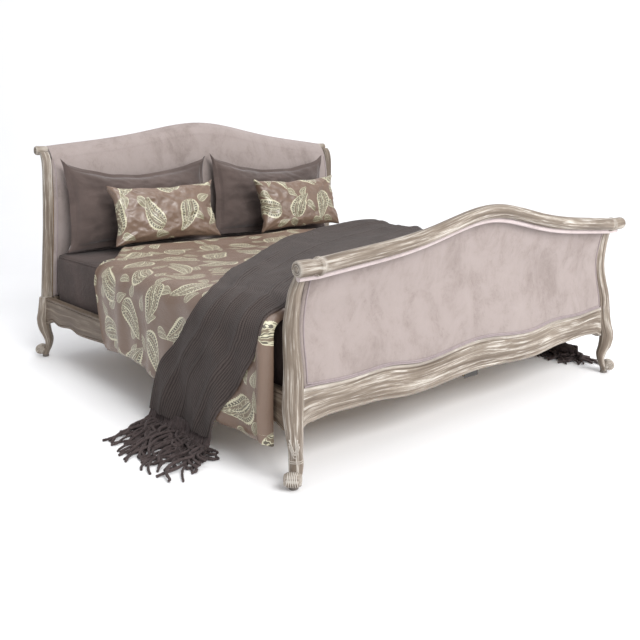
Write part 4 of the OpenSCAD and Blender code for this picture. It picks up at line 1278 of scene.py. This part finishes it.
def plumped(obj, pressure, cap):
    """The cover after a short cloth simulation with air in it, no point moved further than cap."""
    rest = np.array([v.co for v in obj.data.vertices])
    cloth = obj.modifiers.new("plump", "CLOTH")
    cloth.settings.quality = 5
    cloth.settings.mass = 0.25
    cloth.settings.tension_stiffness = cloth.settings.compression_stiffness = 12
    cloth.settings.shear_stiffness = 6
    cloth.settings.bending_stiffness = 0.08
    cloth.settings.use_pressure = True
    cloth.settings.uniform_pressure_force = pressure
    cloth.settings.shrink_min = -0.035
    cloth.settings.effector_weights.gravity = 0
    cloth.point_cache.frame_start, cloth.point_cache.frame_end = 1, PLUMP_FRAMES
    for step in range(1, PLUMP_FRAMES + 1):
        bpy.context.scene.frame_set(step)
    shaped = obj.evaluated_get(bpy.context.evaluated_depsgraph_get()).to_mesh()
    moved = np.array([v.co for v in shaped.vertices]) - rest
    far = np.maximum(np.linalg.norm(moved, axis=1), 1e-9)
    moved *= np.minimum(1, cap / far)[:, None]
    obj.modifiers.remove(cloth)
    obj.data.vertices.foreach_set("co", (rest + moved).astype(np.float32).ravel())
    obj.data.update()
    bpy.context.scene.frame_set(1)
    return obj


SHAM_SIZE, CUSHION_SIZE = (0.885, 0.496, 0.140), (0.625, 0.327, 0.124)
PRESSURE = 3.0
for side, word in SIDES:
    lo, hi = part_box(f"sham_{word}")
    sham = pillow(f"sham_{word}_cover", SHAM_SIZE, (lo + hi) / 2, -6, 0, 0.6 + side, SHAM_VELVET,
                  0.040, 3.7 + side, 0.046)
    padded(plumped(sham, PRESSURE, 0.010), 0.75, f"sham_{word}", slot="sham_velvet")
    lo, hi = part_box(f"cushion_{word}")
    cushion = pillow(f"cushion_{word}_cover", CUSHION_SIZE, (lo + hi) / 2, -14, 2 * side, -0.8,
                     CUSHION_SATIN, 0, 8.3 + side, 0.010)
    padded(plumped(cushion, PRESSURE, 0.008), 0.8, f"cushion_{word}", slot="cushion_satin")

# --- kept CAD nodes --------------------------------------------------------------------------

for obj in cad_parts.values():
    for place in obj.material_slots:
        name = place.material.name.split(".")[0] if place.material else ""
        if name in CAD_FINISHES_AND_SHADE:
            place.material = CAD_FINISHES_AND_SHADE[name]

# --- floor, lights and camera ----------------------------------------------------------------

s = Shader("studio_floor", Roughness=0.55, Specular_IOR_Level=0.2)
s.link("Base Color", s.mix(s.noise(s.position(), 1.5, 2), (0.90, 0.90, 0.905), (0.93, 0.93, 0.935)))
# The floor runs level and then sweeps up behind the bed as one curved wall.
VIEW_TURN = math.radians(-41.4)
SWEEP_Y, SWEEP_R, FLOOR_DROP = 3.2, 2.5, 0.0005
profile = [(-9, 0), (SWEEP_Y, 0)]
profile += [(SWEEP_Y + SWEEP_R * math.sin(a), SWEEP_R - SWEEP_R * math.cos(a))
            for a in np.linspace(0.1, math.pi / 2, 14)] + [(SWEEP_Y + SWEEP_R, 7)]
vertices = [(x, y, z - FLOOR_DROP) for x in (-14, 14) for y, z in profile]
count = len(profile)
floor = new_object("floor", vertices, [(i, i + 1, i + 1 + count, i + count) for i in range(count - 1)],
                   s.material)
floor.rotation_euler = (0, 0, VIEW_TURN)


def area_light(name, place, target, size, power):
    data = bpy.data.lights.new(name, "AREA")
    data.shape, data.size, data.size_y = "RECTANGLE", size[0], size[1]
    data.energy = power
    obj = bpy.data.objects.new(name, data)
    obj.location = place
    obj.rotation_euler = (Vector(target) - Vector(place)).to_track_quat("-Z", "Y").to_euler()
    bpy.context.scene.collection.objects.link(obj)


area_light("key", (-1.8, -8.6, 6.4), (0, 0, 0.5), (5.0, 4.0), 900)
area_light("front", (1.6, -5.2, 1.6), (0.2, 0, 0.4), (3.5, 2.0), 100)
area_light("top", (-0.4, 0.2, 4.6), (0, 0, 0.4), (3.6, 3.6), 90)

world = bpy.data.worlds.new("studio")
world.use_nodes = True
background = world.node_tree.nodes["Background"]
background.inputs["Color"].default_value = (0.96, 0.97, 1.0, 1)
background.inputs["Strength"].default_value = 0.66
bpy.context.scene.world = world
bpy.context.scene.view_settings.view_transform = "Standard"

camera = bpy.data.cameras.new("camera")
camera.lens, camera.sensor_width = 44.27, 36
camera.shift_x, camera.shift_y = -0.02125, -0.1211
eye = bpy.data.objects.new("camera", camera)
eye.location = (-2.592, -3.090, 1.199)
eye.rotation_euler = (math.radians(82.2), 0, VIEW_TURN)
bpy.context.scene.collection.objects.link(eye)
bpy.context.scene.camera = eye
